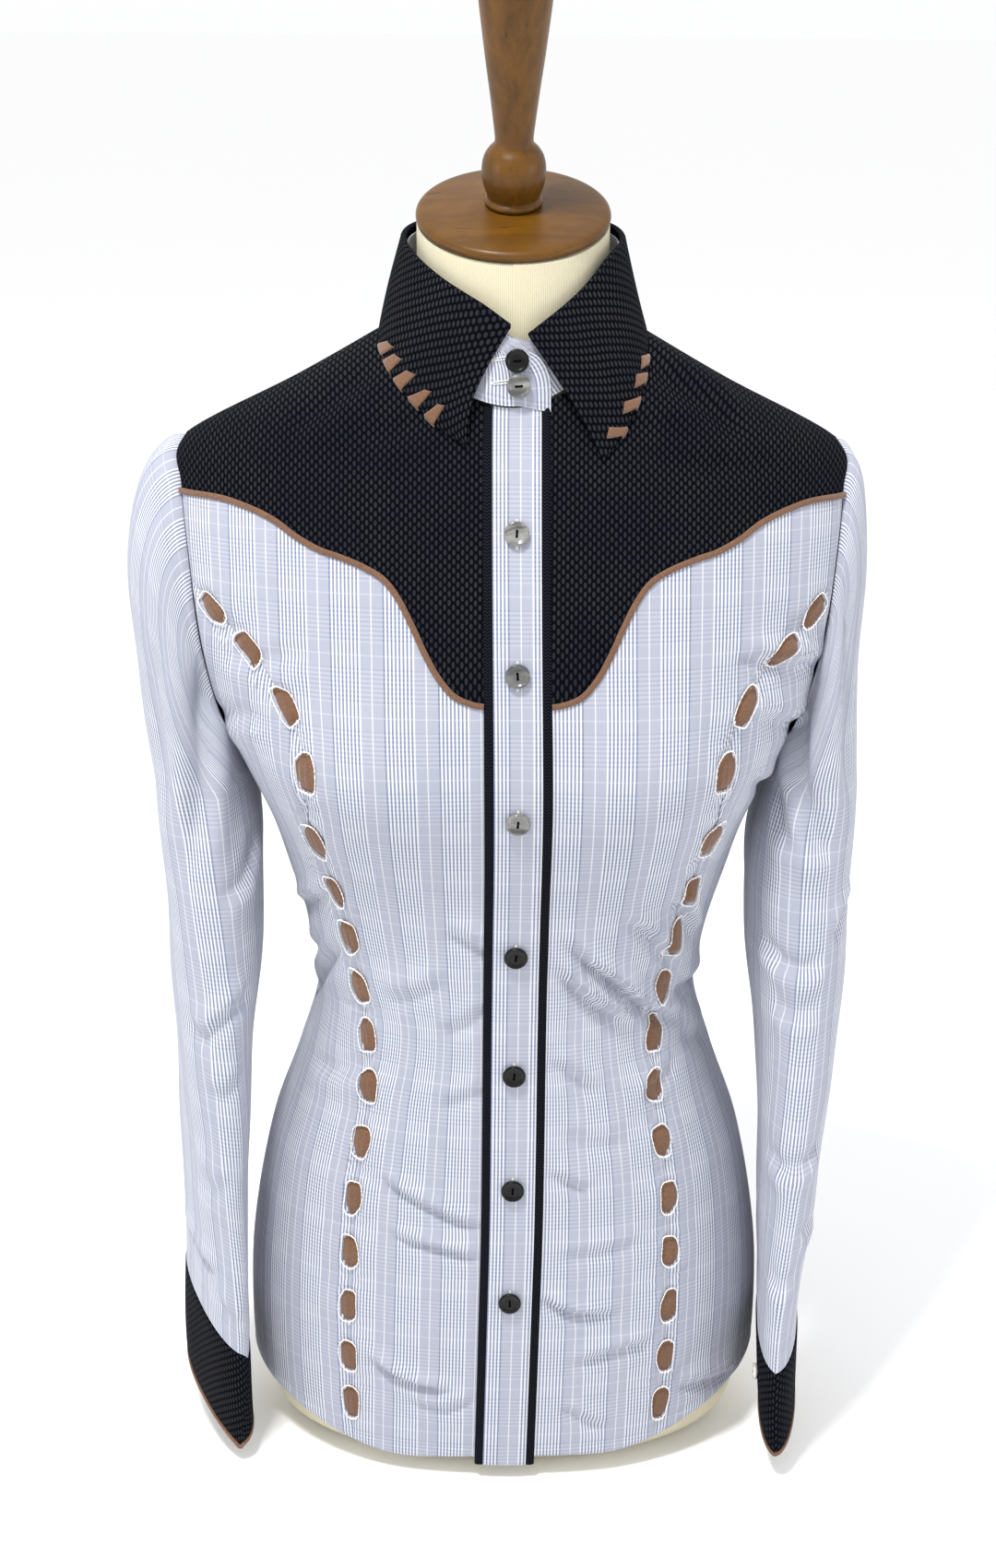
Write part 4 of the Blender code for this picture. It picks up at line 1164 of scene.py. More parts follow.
@dataclass(frozen=True)
class Suede(Finish):
    """Brushed leather with a short nap, darker where fingers and folds have pressed it."""

    pale: Colour = (0.210, 0.105, 0.052)
    deep: Colour = (0.115, 0.052, 0.026)

    def dress(self, graph: Graph, shader: bpy.types.Node) -> None:
        """Mottles the nap and roughens it."""
        places = graph.where()
        base = MOTTLE.place(graph, First=self.pale, Second=self.deep, Amount=0.55)["Color"]
        nap = graph.noise(places, 900.0, 3.0, 0.7)
        graph.feed(shader.inputs["Base Color"], graph.mix(graph.ease(nap, 0.72, 0.35), base, self.deep))
        self.bump(graph, shader, graph.math("ADD", nap, graph.noise(places, 260.0, 2.0)), 0.25, 0.6)


@dataclass(frozen=True)
class Thread(Finish):
    """Spun thread, for stitched edges and button shanks."""

    colour: Colour = (0.90, 0.89, 0.87)
    shade: Colour = (0.66, 0.65, 0.63)

    def dress(self, graph: Graph, shader: bpy.types.Node) -> None:
        """Gives the thread its twist."""
        places = graph.where()
        twist = graph.noise(graph.stretch(places, 1.0, 1.0, 2.4), 700.0, 2.0, 0.6)
        colour = graph.mix(graph.ease(twist, 0.6, 0.3), self.colour, self.shade)
        graph.feed(shader.inputs["Base Color"], colour)
        self.bump(graph, shader, twist, 0.15, 0.8)


@dataclass(frozen=True)
class PolishedShell(Finish):
    """Polished shell: cloudy bands under a clear gloss."""

    dark: Colour = (0.035, 0.037, 0.037)
    pale: Colour = (0.17, 0.17, 0.165)

    def dress(self, graph: Graph, shader: bpy.types.Node) -> None:
        """Streaks the shell and varies its gloss a little."""
        streaked = graph.stretch(graph.where(), 60.0, 90.0, 150.0)
        bands = graph.noise(streaked, 1.0, 3.0, 0.5, 0.8)
        share = graph.ease(bands, 0.3, 0.75)
        graph.feed(shader.inputs["Base Color"], graph.mix(share, self.dark, self.pale))
        graph.feed(shader.inputs["Roughness"], graph.scaled(bands, self.roughness, self.roughness + 0.16))
        self.bump(graph, shader, bands, 0.05, 0.4)


@dataclass(frozen=True)
class RibbedJersey(Finish):
    """Cream jersey with fine upright ribs, and shade painted into the grooves between them."""

    pale: Colour = (0.66, 0.61, 0.44)
    # The deep colour is the painted shade of the grooves between the ribs.
    deep: Colour = (0.44, 0.38, 0.25)
    rib: float = 1.45

    def dress(self, graph: Graph, shader: bpy.types.Node) -> None:
        """Runs the ribs up the form, and paints shade into the grooves between them."""
        across, along = graph.cut()
        m = graph.math
        wave = m("ABSOLUTE", m("SINE", m("MULTIPLY", m("DIVIDE", across, self.rib), math.pi)))
        stitch = m("ABSOLUTE", m("SINE", m("MULTIPLY", m("DIVIDE", along, 0.9), math.pi)))
        base = MOTTLE.place(graph, First=self.pale, Second=(0.62, 0.57, 0.40), Amount=0.8)["Color"]
        # Painted shade: the colour darkens towards deep in the grooves between the ribs, where the rib relief
        # is lowest.
        painted_groove_shade = m("MULTIPLY", graph.ease(wave, 0.55, 0.0), 0.55)
        graph.feed(shader.inputs["Base Color"], graph.mix(painted_groove_shade, base, self.deep))
        self.bump(graph, shader, m("ADD", wave, m("MULTIPLY", stitch, 0.2)), 0.3, 0.8)


@dataclass(frozen=True)
class TurnedWood(Finish):
    """Stained turned wood with streaks along the grain, dark scratches and a satin varnish."""

    amber: Colour = (0.130, 0.053, 0.003)
    brown: Colour = (0.062, 0.025, 0.002)
    dark: Colour = (0.030, 0.013, 0.003)
    grain: tuple[float, float, float] = (150.0, 150.0, 9.0)

    def dress(self, graph: Graph, shader: bpy.types.Node) -> None:
        """Draws the grain, the scratches and the uneven varnish."""
        places = graph.where()
        fibres = graph.noise(graph.stretch(places, *self.grain), 1.0, 5.0, 0.62, 0.4)
        clouds = graph.noise(places, 22.0, 3.0, 0.6, 0.5)
        m = graph.math
        colour = graph.mix(m("MULTIPLY", graph.ease(fibres, 0.34, 0.70), 0.7), self.amber, self.brown)
        colour = graph.mix(m("MULTIPLY", graph.ease(clouds, 0.4, 0.7), 0.55), colour, self.brown)
        narrow = tuple(x * 3.1 for x in self.grain)
        marks = graph.noise(graph.stretch(places, *narrow), 1.0, 2.0, 0.5, 0.8)
        colour = graph.mix(m("MULTIPLY", graph.ease(marks, 0.66, 0.76), 0.8), colour, self.dark)
        graph.feed(shader.inputs["Base Color"], colour)
        varnish = graph.scaled(clouds, self.roughness - 0.08, self.roughness + 0.14)
        graph.feed(shader.inputs["Roughness"], varnish)
        self.bump(graph, shader, m("SUBTRACT", fibres, m("MULTIPLY", marks, 0.6)), 0.18, 0.5)


@dataclass(frozen=True)
class PaleFloor(Finish):
    """A plain pale studio floor."""

    colour: Colour = (0.985, 0.985, 0.985)

    def dress(self, graph: Graph, shader: bpy.types.Node) -> None:
        """Leaves the floor almost even."""
        clouds = graph.noise(graph.where(), 1.4, 2.0)
        graph.feed(shader.inputs["Base Color"], graph.mix(clouds, self.colour, (0.98, 0.98, 0.98)))


class Wardrobe:
    """The finishes, each built as a material once."""

    def __init__(self) -> None:
        """Builds every material."""
        finishes = {
            "plaid": PlaidCotton("plaid_cotton", "plaid_cotton", roughness=0.88, sheen=0.08, gloss=0.3),
            "dobby": BlackDobby("black_dobby", "black_dobby", roughness=0.9, gloss=0.05),
            "twist": TwistBand("black_twist", "black_twill", roughness=0.9, gloss=0.04),
            "suede": Suede("brown_suede", "brown_suede", roughness=0.92, sheen=0.25),
            "edging": Thread("white_thread", "plaid_cotton", roughness=0.75, sheen=0.1),
            "shank": Thread("dark_thread", "black_dobby", roughness=1.0, gloss=0.0,
                            colour=(0.003, 0.003, 0.004), shade=(0.001, 0.001, 0.001)),
            # The next two finishes copy the jet shell with paler colours, as painted reflection: mid grey on
            # one button and pale on three.
            "painted_reflection_grey": PolishedShell("smoke_shell", "smoke_shell", roughness=0.10, coat=0.6),
            "painted_reflection_pale": PolishedShell("silver_shell", "smoke_shell", roughness=0.10, coat=0.8,
                                    dark=(0.04, 0.04, 0.038), pale=(0.27, 0.27, 0.25)),
            "jet": PolishedShell("jet_shell", "smoke_shell", roughness=0.16, gloss=0.25,
                                 dark=(0.001, 0.001, 0.001), pale=(0.006, 0.006, 0.007)),
            "pearl": PolishedShell("pale_shell", "pale_shell", roughness=0.14, coat=0.5,
                                   dark=(0.55, 0.53, 0.49), pale=(0.78, 0.76, 0.72)),
            "jersey": RibbedJersey("cream_jersey", "cream_jersey", roughness=0.88, sheen=0.1),
            "wood": TurnedWood("turned_wood", "turned_wood", roughness=0.34, coat=0.06, gloss=0.25),
            "board": TurnedWood("turned_board", "turned_wood", roughness=0.34, coat=0.06, gloss=0.25,
                                grain=(9.0, 60.0, 60.0)),
            "floor": PaleFloor("pale_floor", "", roughness=0.9),
        }
        self.finishes = finishes
        self.materials = {key: finish.build() for key, finish in finishes.items()}

    def dress(self, piece: bpy.types.Object, key: str, *nodes: str) -> bpy.types.Object:
        """Puts a material on a piece, fixes it to the frame and names what it stands for.

        Args:
            piece: the piece.
            key: which finish it gets.
            nodes: the frame's nodes that it replaces.

        Returns:
            The same piece.
        """
        piece.data.materials.append(self.materials[key])
        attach(piece, BODY)
        if nodes:
            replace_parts(piece, *nodes)
        LOG.info("%s: %d faces", piece.name, len(piece.data.polygons))
        return piece


# ---- The shirt's body ----


@dataclass
class Pattern:
    """Where the shirt's pieces meet."""

    neck_level: float = 740
    shoulder_level: float = 680
    underarm_level: float = 465
    yoke_middle_level: float = 532.5
    yoke_side_level: float = 645
    back_yoke_side_level: float = 628
    back_yoke_dip: float = 26
    princess_top_level: float = 590
    hem_level: float = 13
    hem_rise: float = 33
    hem_rise_turn: float = 88
    hem_rise_spread: float = 57
    hem_hitch: float = 2.5
    front_spread: float = 30
    front_short: float = 4.5
    placket_half: float = 14.0
    band_width: float = 5.5

    def hem(self, turn: Grid) -> Grid:
        """The hem's level at some turns."""
        around = (np.asarray(turn, float) + 180) % 360 - 180
        near = np.minimum(1, np.abs(np.abs(around) - self.hem_rise_turn) / self.hem_rise_spread)
        rise = self.hem_rise * np.cos(near * np.pi / 2) ** 2
        short = self.front_short * bell(around, self.front_spread)
        return self.hem_level + rise + short + self.hem_hitch * np.sin(np.radians(around))

    def armhole_span(self) -> tuple[float, float]:
        """The level of the armhole's middle, and half its height."""
        high, low = self.shoulder_level, self.underarm_level
        return (high + low) / 2, (high - low) / 2

    def armhole(self, bearing: Grid) -> Grid:
        """Turns and levels round the armhole: 0 is its top, 90 its front and 180 the underarm."""
        s, c = np.sin(np.radians(bearing)), np.cos(np.radians(bearing))
        middle, half = self.armhole_span()
        level = middle + half * c
        turn = 90 - np.where(s > 0, 15, -17) * np.abs(s) ** 0.9 * (1 - 0.25 * c)
        return np.stack([turn, level], axis=-1)

    def bearing(self, level: float) -> float:
        """The bearing on the armhole's front where it passes a level."""
        middle, half = self.armhole_span()
        return math.degrees(math.acos((level - middle) / half))


class Strip(NamedTuple):
    """A strip down the front: its node, its edges across, how far out it lies, its finish and phase."""

    node: str
    low: float
    high: float
    out: float
    key: str
    phase: float


@dataclass
class Body:
    """The cloth round the torso: fronts, sides, back, yokes and the front strips."""

    shirt: Shirt
    wardrobe: Wardrobe
    pattern: Pattern = field(default_factory=Pattern)
    wall: float = 1.0
    mesh_step: float = 2.3
    yoke_step: float = 2.6
    roll_depth: float = 0.8
    roll_width: float = 1.7
    hem_turn_up: float = 8.0
    hem_stitch: float = 0.45
    hem_bulk: float = 0.25
    narrowest: float = 0.0102
    front_length: float = 640
    seam_share: float = 17 / 19
    centre_width: float = 150
    side_width: float = 95
    yoke_span: float = 190
    back_length: float = 610
    back_width: float = 340
    back_yoke_width: float = 400
    band_tuck: float = 3.4
    plaid_phases: ClassVar[dict[Side, float]] = {Side.LEFT: 22.6, Side.RIGHT: 0.0}
    side_phase: float = 9.5
    back_phase: float = 8.8
    sheets: dict[str, Sheet] = field(default_factory=dict)

    def panel(self, name: str, edges: tuple[Grid, Grid, Grid, Grid], side: Side, key: str,
              cut: Callable[[Grid, Grid, Grid], Grid], out: float = 0.0, hem: bool = False,
              rim: float = 1.0) -> bpy.types.Object:
        """Makes one cloth panel.

        Args:
            name: the frame node that it stands for.
            edges: its lower, upper, first and last edges, on the right side of the shirt.
            side: the side that it is on.
            key: its finish.
            cut: gives the places on the flat cut from the turns, levels and points.
            out: how far it stands out from the cloth's surface.
            hem: whether its lower edge is turned up and stitched.
            rim: how strongly its edges roll in.

        Returns:
            The panel.
        """
        turn, level = coons(*edges)
        turn = turn * side.value
        height, pull = self.shirt.relief(turn, level)
        facing = self.shirt.facing(turn, level)
        smooth = self.shirt.surface(turn, level, out, creased=0)
        gap = edge_gap(smooth)
        height = height - rim * self.roll_depth * bell(gap, self.roll_width)
        if hem:
            rise = level - self.pattern.hem(turn)
            height = height - self.hem_stitch * bell(rise - self.hem_turn_up, 1.5)
            height = height + self.hem_bulk * eased(1 - rise / self.hem_turn_up)
        outer = smooth + facing * height[..., None]
        places = cut(turn, level, smooth)
        places[..., 0] += pull * side.value
        piece = shell_mesh(f"{name}_cloth", outer, outer - facing * self.wall, places, side is Side.LEFT)
        self.sheets[name] = sheet_of(outer, places)
        return self.wardrobe.dress(piece, key, name)

    def plaid_cut(self, side: Side, start: Callable[[Grid], Grid], phase: float
                  ) -> Callable[[Grid, Grid, Grid], Grid]:
        """Places on a plaid panel whose threads run level and beside a line.

        Args:
            side: the side that the panel is on.
            start: the turn of that line at each level, on the right side.
            phase: where the line falls in the check's repeat.

        Returns:
            A function for the panel.
        """

        def places(turn: Grid, level: Grid, _: Grid) -> Grid:
            """Places beside the line and up the cloth."""
            line = self.shirt.across(start(level) * side.value, level)
            u = (self.shirt.across(turn, level) - line) * self.shirt.squeeze(level) * side.value
            return np.stack([u + phase, self.shirt.along(level)], axis=-1)
        return places

    def dobby_cut(self, back: bool) -> Callable[[Grid, Grid, Grid], Grid]:
        """Places on a yoke, whose columns run up over the shoulder."""
        turns = np.linspace(180, 90, 91) if back else np.linspace(0, 90, 91)
        chest = self.shirt.plain(turns, np.full(len(turns), 600.0))
        reach = run_along(chest)

        def places(_: Grid, __: Grid, points: Grid) -> Grid:
            """Places across the chest and up over the shoulder."""
            x, y, z = np.moveaxis(points, -1, 0)
            u = np.interp(np.abs(x), chest[:, 0], reach) * np.sign(x)
            ahead = np.interp(np.abs(x), chest[:, 0], chest[:, 1])
            v = np.hypot(z - 520, y - ahead)
            return np.stack([u, v], axis=-1)
        return places

    def strip_turn(self, level: Grid, offset: float) -> Grid:
        """The turn of a line beside the middle of the front, by its distance across."""
        return np.degrees(np.arctan2(offset, self.shirt.outline.rings(level)[..., 4]))

    def seam(self, count: int) -> Grid:
        """The laced seam from the hem to the armhole."""
        low = float(self.pattern.hem(self.shirt.princess(self.pattern.hem_level)))
        marks = (low, *LACE_LEVELS, self.pattern.princess_top_level)
        levels = np.interp(np.linspace(0, len(marks) - 1, count), np.arange(len(marks)), marks)
        seam = pairs(self.shirt.princess(levels), levels)
        end = self.pattern.armhole(self.pattern.bearing(self.pattern.princess_top_level))
        share = eased((levels - 556) / 34)[:, None]
        return seam * (1 - share) + (seam + end - seam[-1]) * share

    def yoke_line(self, count: int) -> Grid:
        """The lower edge of a front yoke, from the front strip to the armhole."""
        p = self.pattern
        start = float(self.strip_turn(p.yoke_middle_level, p.placket_half + p.band_width))
        edge = Curve(YOKE_EDGE)
        turns = np.linspace(start, YOKE_EDGE[-1][0], count)
        line = pairs(turns, edge(np.maximum(turns, YOKE_EDGE[0][0])))
        end = p.armhole(p.bearing(p.yoke_side_level))
        share = eased((turns - 68) / (YOKE_EDGE[-1][0] - 68))[:, None]
        return line + (end - line[-1]) * share

    def build_fronts(self, side: Side) -> None:
        """The centre front, side front and front yoke of one side."""
        p, shirt, word = self.pattern, self.shirt, side.word
        offset = p.placket_half + p.band_width
        rows = round(self.front_length / self.mesh_step)
        lower = self.seam(round(rows * self.seam_share))
        arc = p.armhole(np.linspace(p.bearing(p.princess_top_level), p.bearing(p.yoke_side_level),
                                    rows - len(lower) + 1))
        outer = np.concatenate([lower, arc[1:]])
        first_low = float(p.hem(self.strip_turn(p.hem_level, offset)))
        levels = np.linspace(first_low, p.yoke_middle_level, rows)
        edge = pairs(self.strip_turn(levels, offset), levels)
        columns = round(self.centre_width / self.mesh_step)
        yoke = self.yoke_line(columns)
        turns = np.linspace(edge[0, 0], lower[0, 0], columns)
        low = pairs(turns, p.hem(turns * side.value))
        edge[0], edge[-1], outer[0] = low[0], yoke[0], low[-1]
        cut = self.plaid_cut(side, lambda level: self.strip_turn(level, offset), self.plaid_phases[side])
        self.panel(f"front_centre_{word}", (low, yoke, edge, outer), side, "plaid", cut, hem=True)

        turns = np.linspace(lower[0, 0], 90, round(self.side_width / self.mesh_step))
        hitch = pairs(turns, p.hem(turns * side.value))
        scye = p.armhole(np.linspace(p.bearing(p.princess_top_level), 180, len(turns)))
        levels = np.linspace(hitch[-1, 1], p.underarm_level, len(lower))
        side_seam = pairs(90.0, levels)
        lower[0] = hitch[0]
        cut = self.plaid_cut(side, lambda level: shirt.princess(np.clip(level, 0, 300)), self.side_phase)
        self.panel(f"front_side_{word}", (hitch, scye, lower, side_seam), side, "plaid", cut, hem=True)

        rows = columns = round(self.yoke_span / self.yoke_step)
        edge = self.yoke_line(columns)
        levels = np.linspace(p.yoke_middle_level, p.neck_level, rows)
        inner = pairs(self.strip_turn(levels, offset), levels)
        arc = p.armhole(np.linspace(p.bearing(p.yoke_side_level), 0, round(rows * 0.34)))
        levels = np.linspace(p.shoulder_level, p.neck_level, rows - len(arc) + 1)[1:]
        shoulder = np.concatenate([arc, pairs(90.0, levels)])
        turns = np.linspace(inner[-1, 0], 90, columns)
        neck = pairs(turns, p.neck_level)
        inner[0] = edge[0]
        self.panel(f"yoke_front_{word}", (edge, neck, inner, shoulder), side, "dobby",
                   self.dobby_cut(False), rim=0.6)

    def back_edge(self, count: int) -> Grid:
        """The lower edge of the back yoke, with its shallow point."""
        p = self.pattern
        start, level = p.armhole(360 - p.bearing(p.back_yoke_side_level))
        share = np.linspace(-1, 1, count)
        dip = p.back_yoke_dip * np.cos(share * np.pi / 2) ** 1.5
        return pairs(180 + share * (180 - start), level - dip)

    def build_back(self) -> None:
        """The back panel and the back yoke."""
        p = self.pattern
        step = self.mesh_step * 1.25
        rows, columns = round(self.back_length / step), round(self.back_width / step)
        edge = self.back_edge(columns)
        top = 360 - p.bearing(p.back_yoke_side_level)
        arc = p.armhole(np.linspace(180, top, round(rows * 0.36)))

        def climb(turn: float, mirror: bool) -> Grid:
            """A side seam and the armhole's arc above it."""
            levels = np.linspace(float(p.hem(turn)), p.underarm_level, rows - len(arc) + 1)
            over = arc[1:] * (-1, 1) + (360, 0) if mirror else arc[1:]
            return np.concatenate([pairs(turn, levels), over])
        turns = np.linspace(90, 270, columns)
        low = pairs(turns, p.hem(turns))
        cut = self.plaid_cut(Side.RIGHT, lambda level: np.full(np.shape(level), 180.0), self.back_phase)
        self.panel("back_panel", (low, edge, climb(90, False), climb(270, True)), Side.RIGHT, "plaid",
                   cut, hem=True)

        step = self.yoke_step * 1.2
        rows, columns = round(self.yoke_span / step), round(self.back_yoke_width / step)
        edge = self.back_edge(columns)
        arc = p.armhole(np.linspace(top, 360, round(rows * 0.4)))
        levels = np.linspace(p.shoulder_level, p.neck_level, rows - len(arc) + 1)[1:]
        first = np.concatenate([arc, pairs(90.0, levels)])
        last = first * (-1, 1) + (360, 0)
        turns = np.linspace(90, 270, columns)
        neck = pairs(turns, p.neck_level)
        self.panel("yoke_back", (edge, neck, first, last), Side.RIGHT, "dobby",
                   self.dobby_cut(True), rim=0.6)

    def build_strips(self) -> None:
        """The placket, its two bands and the lap beneath, from the hem to the neck."""
        p = self.pattern
        half, width, tuck = p.placket_half, p.band_width, self.band_tuck
        strips = (
            Strip("placket_band_left", -half - width, -half + tuck, 0.15, "twist", 3.0),
            Strip("placket_band_right", half - tuck, half + width, 0.15, "twist", 3.0),
            Strip("placket", -half, half, 0.8, "plaid", 7.9),
            Strip("under_placket", -half, half, -2.0, "plaid", 7.9),
        )
        levels = steps(p.hem_level - 2, p.neck_level, self.mesh_step)
        for name, low, high, out, key, phase in strips:
            offsets = steps(low, high, 0.9 if key == "twist" else 1.4)
            level, offset = np.meshgrid(levels, offsets, indexing="ij")
            turn = self.strip_turn(level, offset)
            facing = self.shirt.facing(turn, level)
            edge = np.minimum(offset - low, high - offset)
            stand = 0.35 * self.shirt.relief(turn, level)[0] - 0.7 * bell(edge, 0.8)
            if key == "twist":
                under = np.clip(half - np.abs(offset), 0, 9)
                shown = np.clip((np.abs(offset) - half) / width, 0, 1)
                stand = stand * (under == 0) + 0.5 * np.sin(np.pi * shown) - 1.3 * eased(under)
            else:
                stand = stand - 0.22 * bell(edge - 1.8, 0.7) + self.pulled(level)
            outer = self.shirt.surface(turn, level, out, creased=0) + facing * stand[..., None]
            places = pairs(offset - low + phase, self.shirt.along(level))
            wall = 0.55 if key == "twist" else 1.0
            piece = shell_mesh(f"{name}_cloth", outer, outer - facing * wall, places)
            cut = sheet_of(outer, places)
            self.sheets[name] = cut._replace(width=max(cut.width, self.narrowest))
            self.wardrobe.dress(piece, key, name)

    def pulled(self, level: Grid) -> Grid:
        """The strain of the placket between its buttons."""
        total = np.zeros(level.shape)
        for number, (low, high) in enumerate(zip(BUTTON_LEVELS, BUTTON_LEVELS[1:])):
            total = total + (0.35 + 0.3 * float(uneven(number, 3))) * bell(level - (low + high) / 2, 18)
        return total

    def build(self) -> None:
        """Builds the body."""
        for side in Side:
            self.build_fronts(side)
        self.build_back()
        self.build_strips()


# ---- Trims: piping and lacing ----


@dataclass
class Trims:
    """The suede piping on the yokes and the lacing down the princess seams."""

    body: Body
    wardrobe: Wardrobe
    piping_half: float = 1.75
    piping_height: float = 1.5
    lace_half: float = 4.9
    lace_long: float = 10.6
    lace_crown: float = 1.0
    eyelet_thread: float = 0.46
    small_stitch: int = 10
    lace_rounds: int = 40
    lace_rings: int = 9
    eyelet_rounds: int = 84
    eyelet_corners: int = 6
    loose_threads: int = 5

    def frames(self, route: Grid, out: float) -> tuple[Grid, Grid, Grid]:
        """Points, directions across and directions out along a route on the shirt."""
        shirt = self.body.shirt
        middle = shirt.surface(route[:, 0], route[:, 1], out)
        facing = shirt.facing(route[:, 0], route[:, 1])
        along = unit(np.gradient(middle, axis=0))
        return middle, unit(np.cross(along, facing)), facing

    def piping(self, name: str, route: Grid) -> None:
        """A rounded strip of piping along a yoke's edge."""
        middle, across, facing = self.frames(route, 0.25)
        half, high = self.piping_half, self.piping_height
        arc = np.linspace(0, np.pi, 9)
        profile = [(half * np.cos(a), high * np.sin(a) ** 0.8) for a in arc]
        piece = sweep_mesh(f"{name}_suede", middle, across, facing, profile)
        self.wardrobe.dress(piece, "suede", name)

    def build_piping(self) -> None:
        """Pipes both front yokes and the back yoke."""
        for side in Side:
            line = self.body.yoke_line(160)[::side.value] * (side.value, 1)
            self.piping(f"yoke_piping_{side.word}", line)
        self.piping("yoke_piping_back", self.body.back_edge(200))

    def stitch_frame(self, side: Side, number: int) -> tuple[float, float, float, float]:
        """A stitch's turn and level, its lean, and the millimetres in a degree of turn there."""
        shirt = self.body.shirt
        turn, level = shirt.laced[side][number]
        degree = float(shirt.across(turn + 0.5, level) - shirt.across(turn - 0.5, level))
        lean = math.atan2(side.value * shirt.seam_lean(level) * degree, shirt.climb)
        return turn, level, lean, degree

    def build_lacing(self, side: Side) -> None:
        """The suede stitches of one princess seam, and the white thread round their eyelets."""
        rounds, rings = self.lace_rounds, self.lace_rings
        points, faces, cuts = [], [], []
        for number in range(len(LACE_LEVELS)):
            half, long = self.stitch_size(side, number)
            radius = np.linspace(0.02, 1, rings)[:, None]
            across, along = self.eyelet(number, rounds)
            a, b = half * radius * across, long * radius * along
            crown = self.lace_crown * np.sqrt(1 - 0.92 * radius**2) * np.ones_like(a)
            crown = crown + 0.30 * np.sin(a * 1.3 + number) * (1 - radius)
            crown = crown - 1.5 * bell(np.abs(b) - long, 4.0) - 0.8 * eased((a + 1.5) / -4.0)
            top = self.over_dip(side, number, a, b, -0.75 + crown)
            under = self.over_dip(side, number, a[-1:] * 0.97, b[-1:] * 0.97, -1.15 + 0 * a[-1:])
            start = sum(len(x) for x in points)
            points.append(np.concatenate([top.reshape(-1, 3), under.reshape(-1, 3)]))
            cuts += [pairs(a, b).reshape(-1, 2), pairs(a[-1], b[-1])]
            faces += tube_faces(start, rings + 1, rounds, inward=True)
            faces += [ring_face(start, rounds), ring_face(start + rings * rounds, rounds, inward=True)]
        piece = add_mesh(f"lace_{side.word}_suede", np.concatenate(points), faces, np.concatenate(cuts))
        self.wardrobe.dress(piece, "suede", f"lace_{side.word}")
        self.build_eyelets(side)

    def eyelet(self, number: int, rounds: int) -> tuple[Grid, Grid]:
        """An eyelet's outline of size one: a blunt oval, a little lopsided in its own way."""
        angle = np.linspace(0, 2 * np.pi, rounds, endpoint=False)
        c, s = np.cos(angle), np.sin(angle)
        lopsided = 1 + 0.05 * np.sin(3 * angle + 5 * number) + 0.03 * np.sin(5 * angle - number)
        skew = 0.16 * math.sin(3.7 * number)
        across = np.sign(c) * np.abs(c) ** 0.72 * lopsided
        along = np.sign(s) * np.abs(s) ** 0.80 * lopsided
        return across + skew * along * np.abs(along), along + 0.10 * skew * across

    def stitch_size(self, side: Side, number: int) -> tuple[float, float]:
        """Half the width and half the length of a stitch, no two alike."""
        wide, tall = self.body.shirt.grown(LACE_LEVELS[number])
        odd = 0.94 + 0.12 * float(uneven(number, side.value + 2))
        small = 0.82 if number == self.small_stitch else 1.0
        half, long = self.lace_half * wide * odd, self.lace_long * tall * (1.92 - odd) * 0.98
        return half * small, long * small

    def over_dip(self, side: Side, number: int, a: Grid, b: Grid, out: Grid) -> Grid:
        """Points round a stitch that bridge its dip, from how far across, along and out they lie."""
        turn, level, lean, degree = self.stitch_frame(side, number)
        x = a * math.cos(lean) + b * math.sin(lean)
        y = b * math.cos(lean) - a * math.sin(lean)
        turns, levels = turn + x / degree, level + y
        shirt = self.body.shirt
        x = shirt.across(turns, levels)
        creases = shirt.crispness * sum(crease.press(x, levels, path)[0] for crease, path in shirt.creases)
        points = shirt.surface(turns, levels, 0, creased=0)
        return points + shirt.facing(turns, levels) * (np.asarray(out) + creases)[..., None]

    def build_eyelets(self, side: Side) -> None:
        """Whipped white thread round each eyelet, with a few loose ends."""
        points, faces = [], []
        rounds, corners = self.eyelet_rounds, self.eyelet_corners
        angle = np.linspace(0, 2 * np.pi, rounds, endpoint=False)
        corner = np.linspace(0, 2 * np.pi, corners, endpoint=False)
        for number in range(len(LACE_LEVELS)):
            half, long = self.stitch_size(side, number)
            across, along = self.eyelet(number, rounds)
            end = np.abs(np.sin(angle)) ** 6
            thick = self.eyelet_thread * (0.72 + 0.28 * np.cos(28 * angle)) * (1 + 0.5 * end)
            thick = thick * (0.8 + 0.4 * uneven(np.arange(rounds), number + side.value))
            a0, b0 = (half + 0.35) * across, (long + 0.45) * along
            a = a0[:, None] + thick[:, None] * np.cos(corner) * np.cos(angle)[:, None]
            b = b0[:, None] + thick[:, None] * np.cos(corner) * np.sin(angle)[:, None]
            out = 0.25 + thick[:, None] * np.sin(corner)
            ring = self.over_dip(side, number, a, b, out)
            start = sum(len(x) for x in points)
            points.append(ring.reshape(-1, 3))
            faces += tube_faces(start, rounds, corners, closed=True, inward=True)
            self.loose_ends(side, number, half, long, points, faces)
        piece = add_mesh(f"eyelet_thread_{side.word}", np.concatenate(points), faces)
        self.wardrobe.dress(piece, "edging")

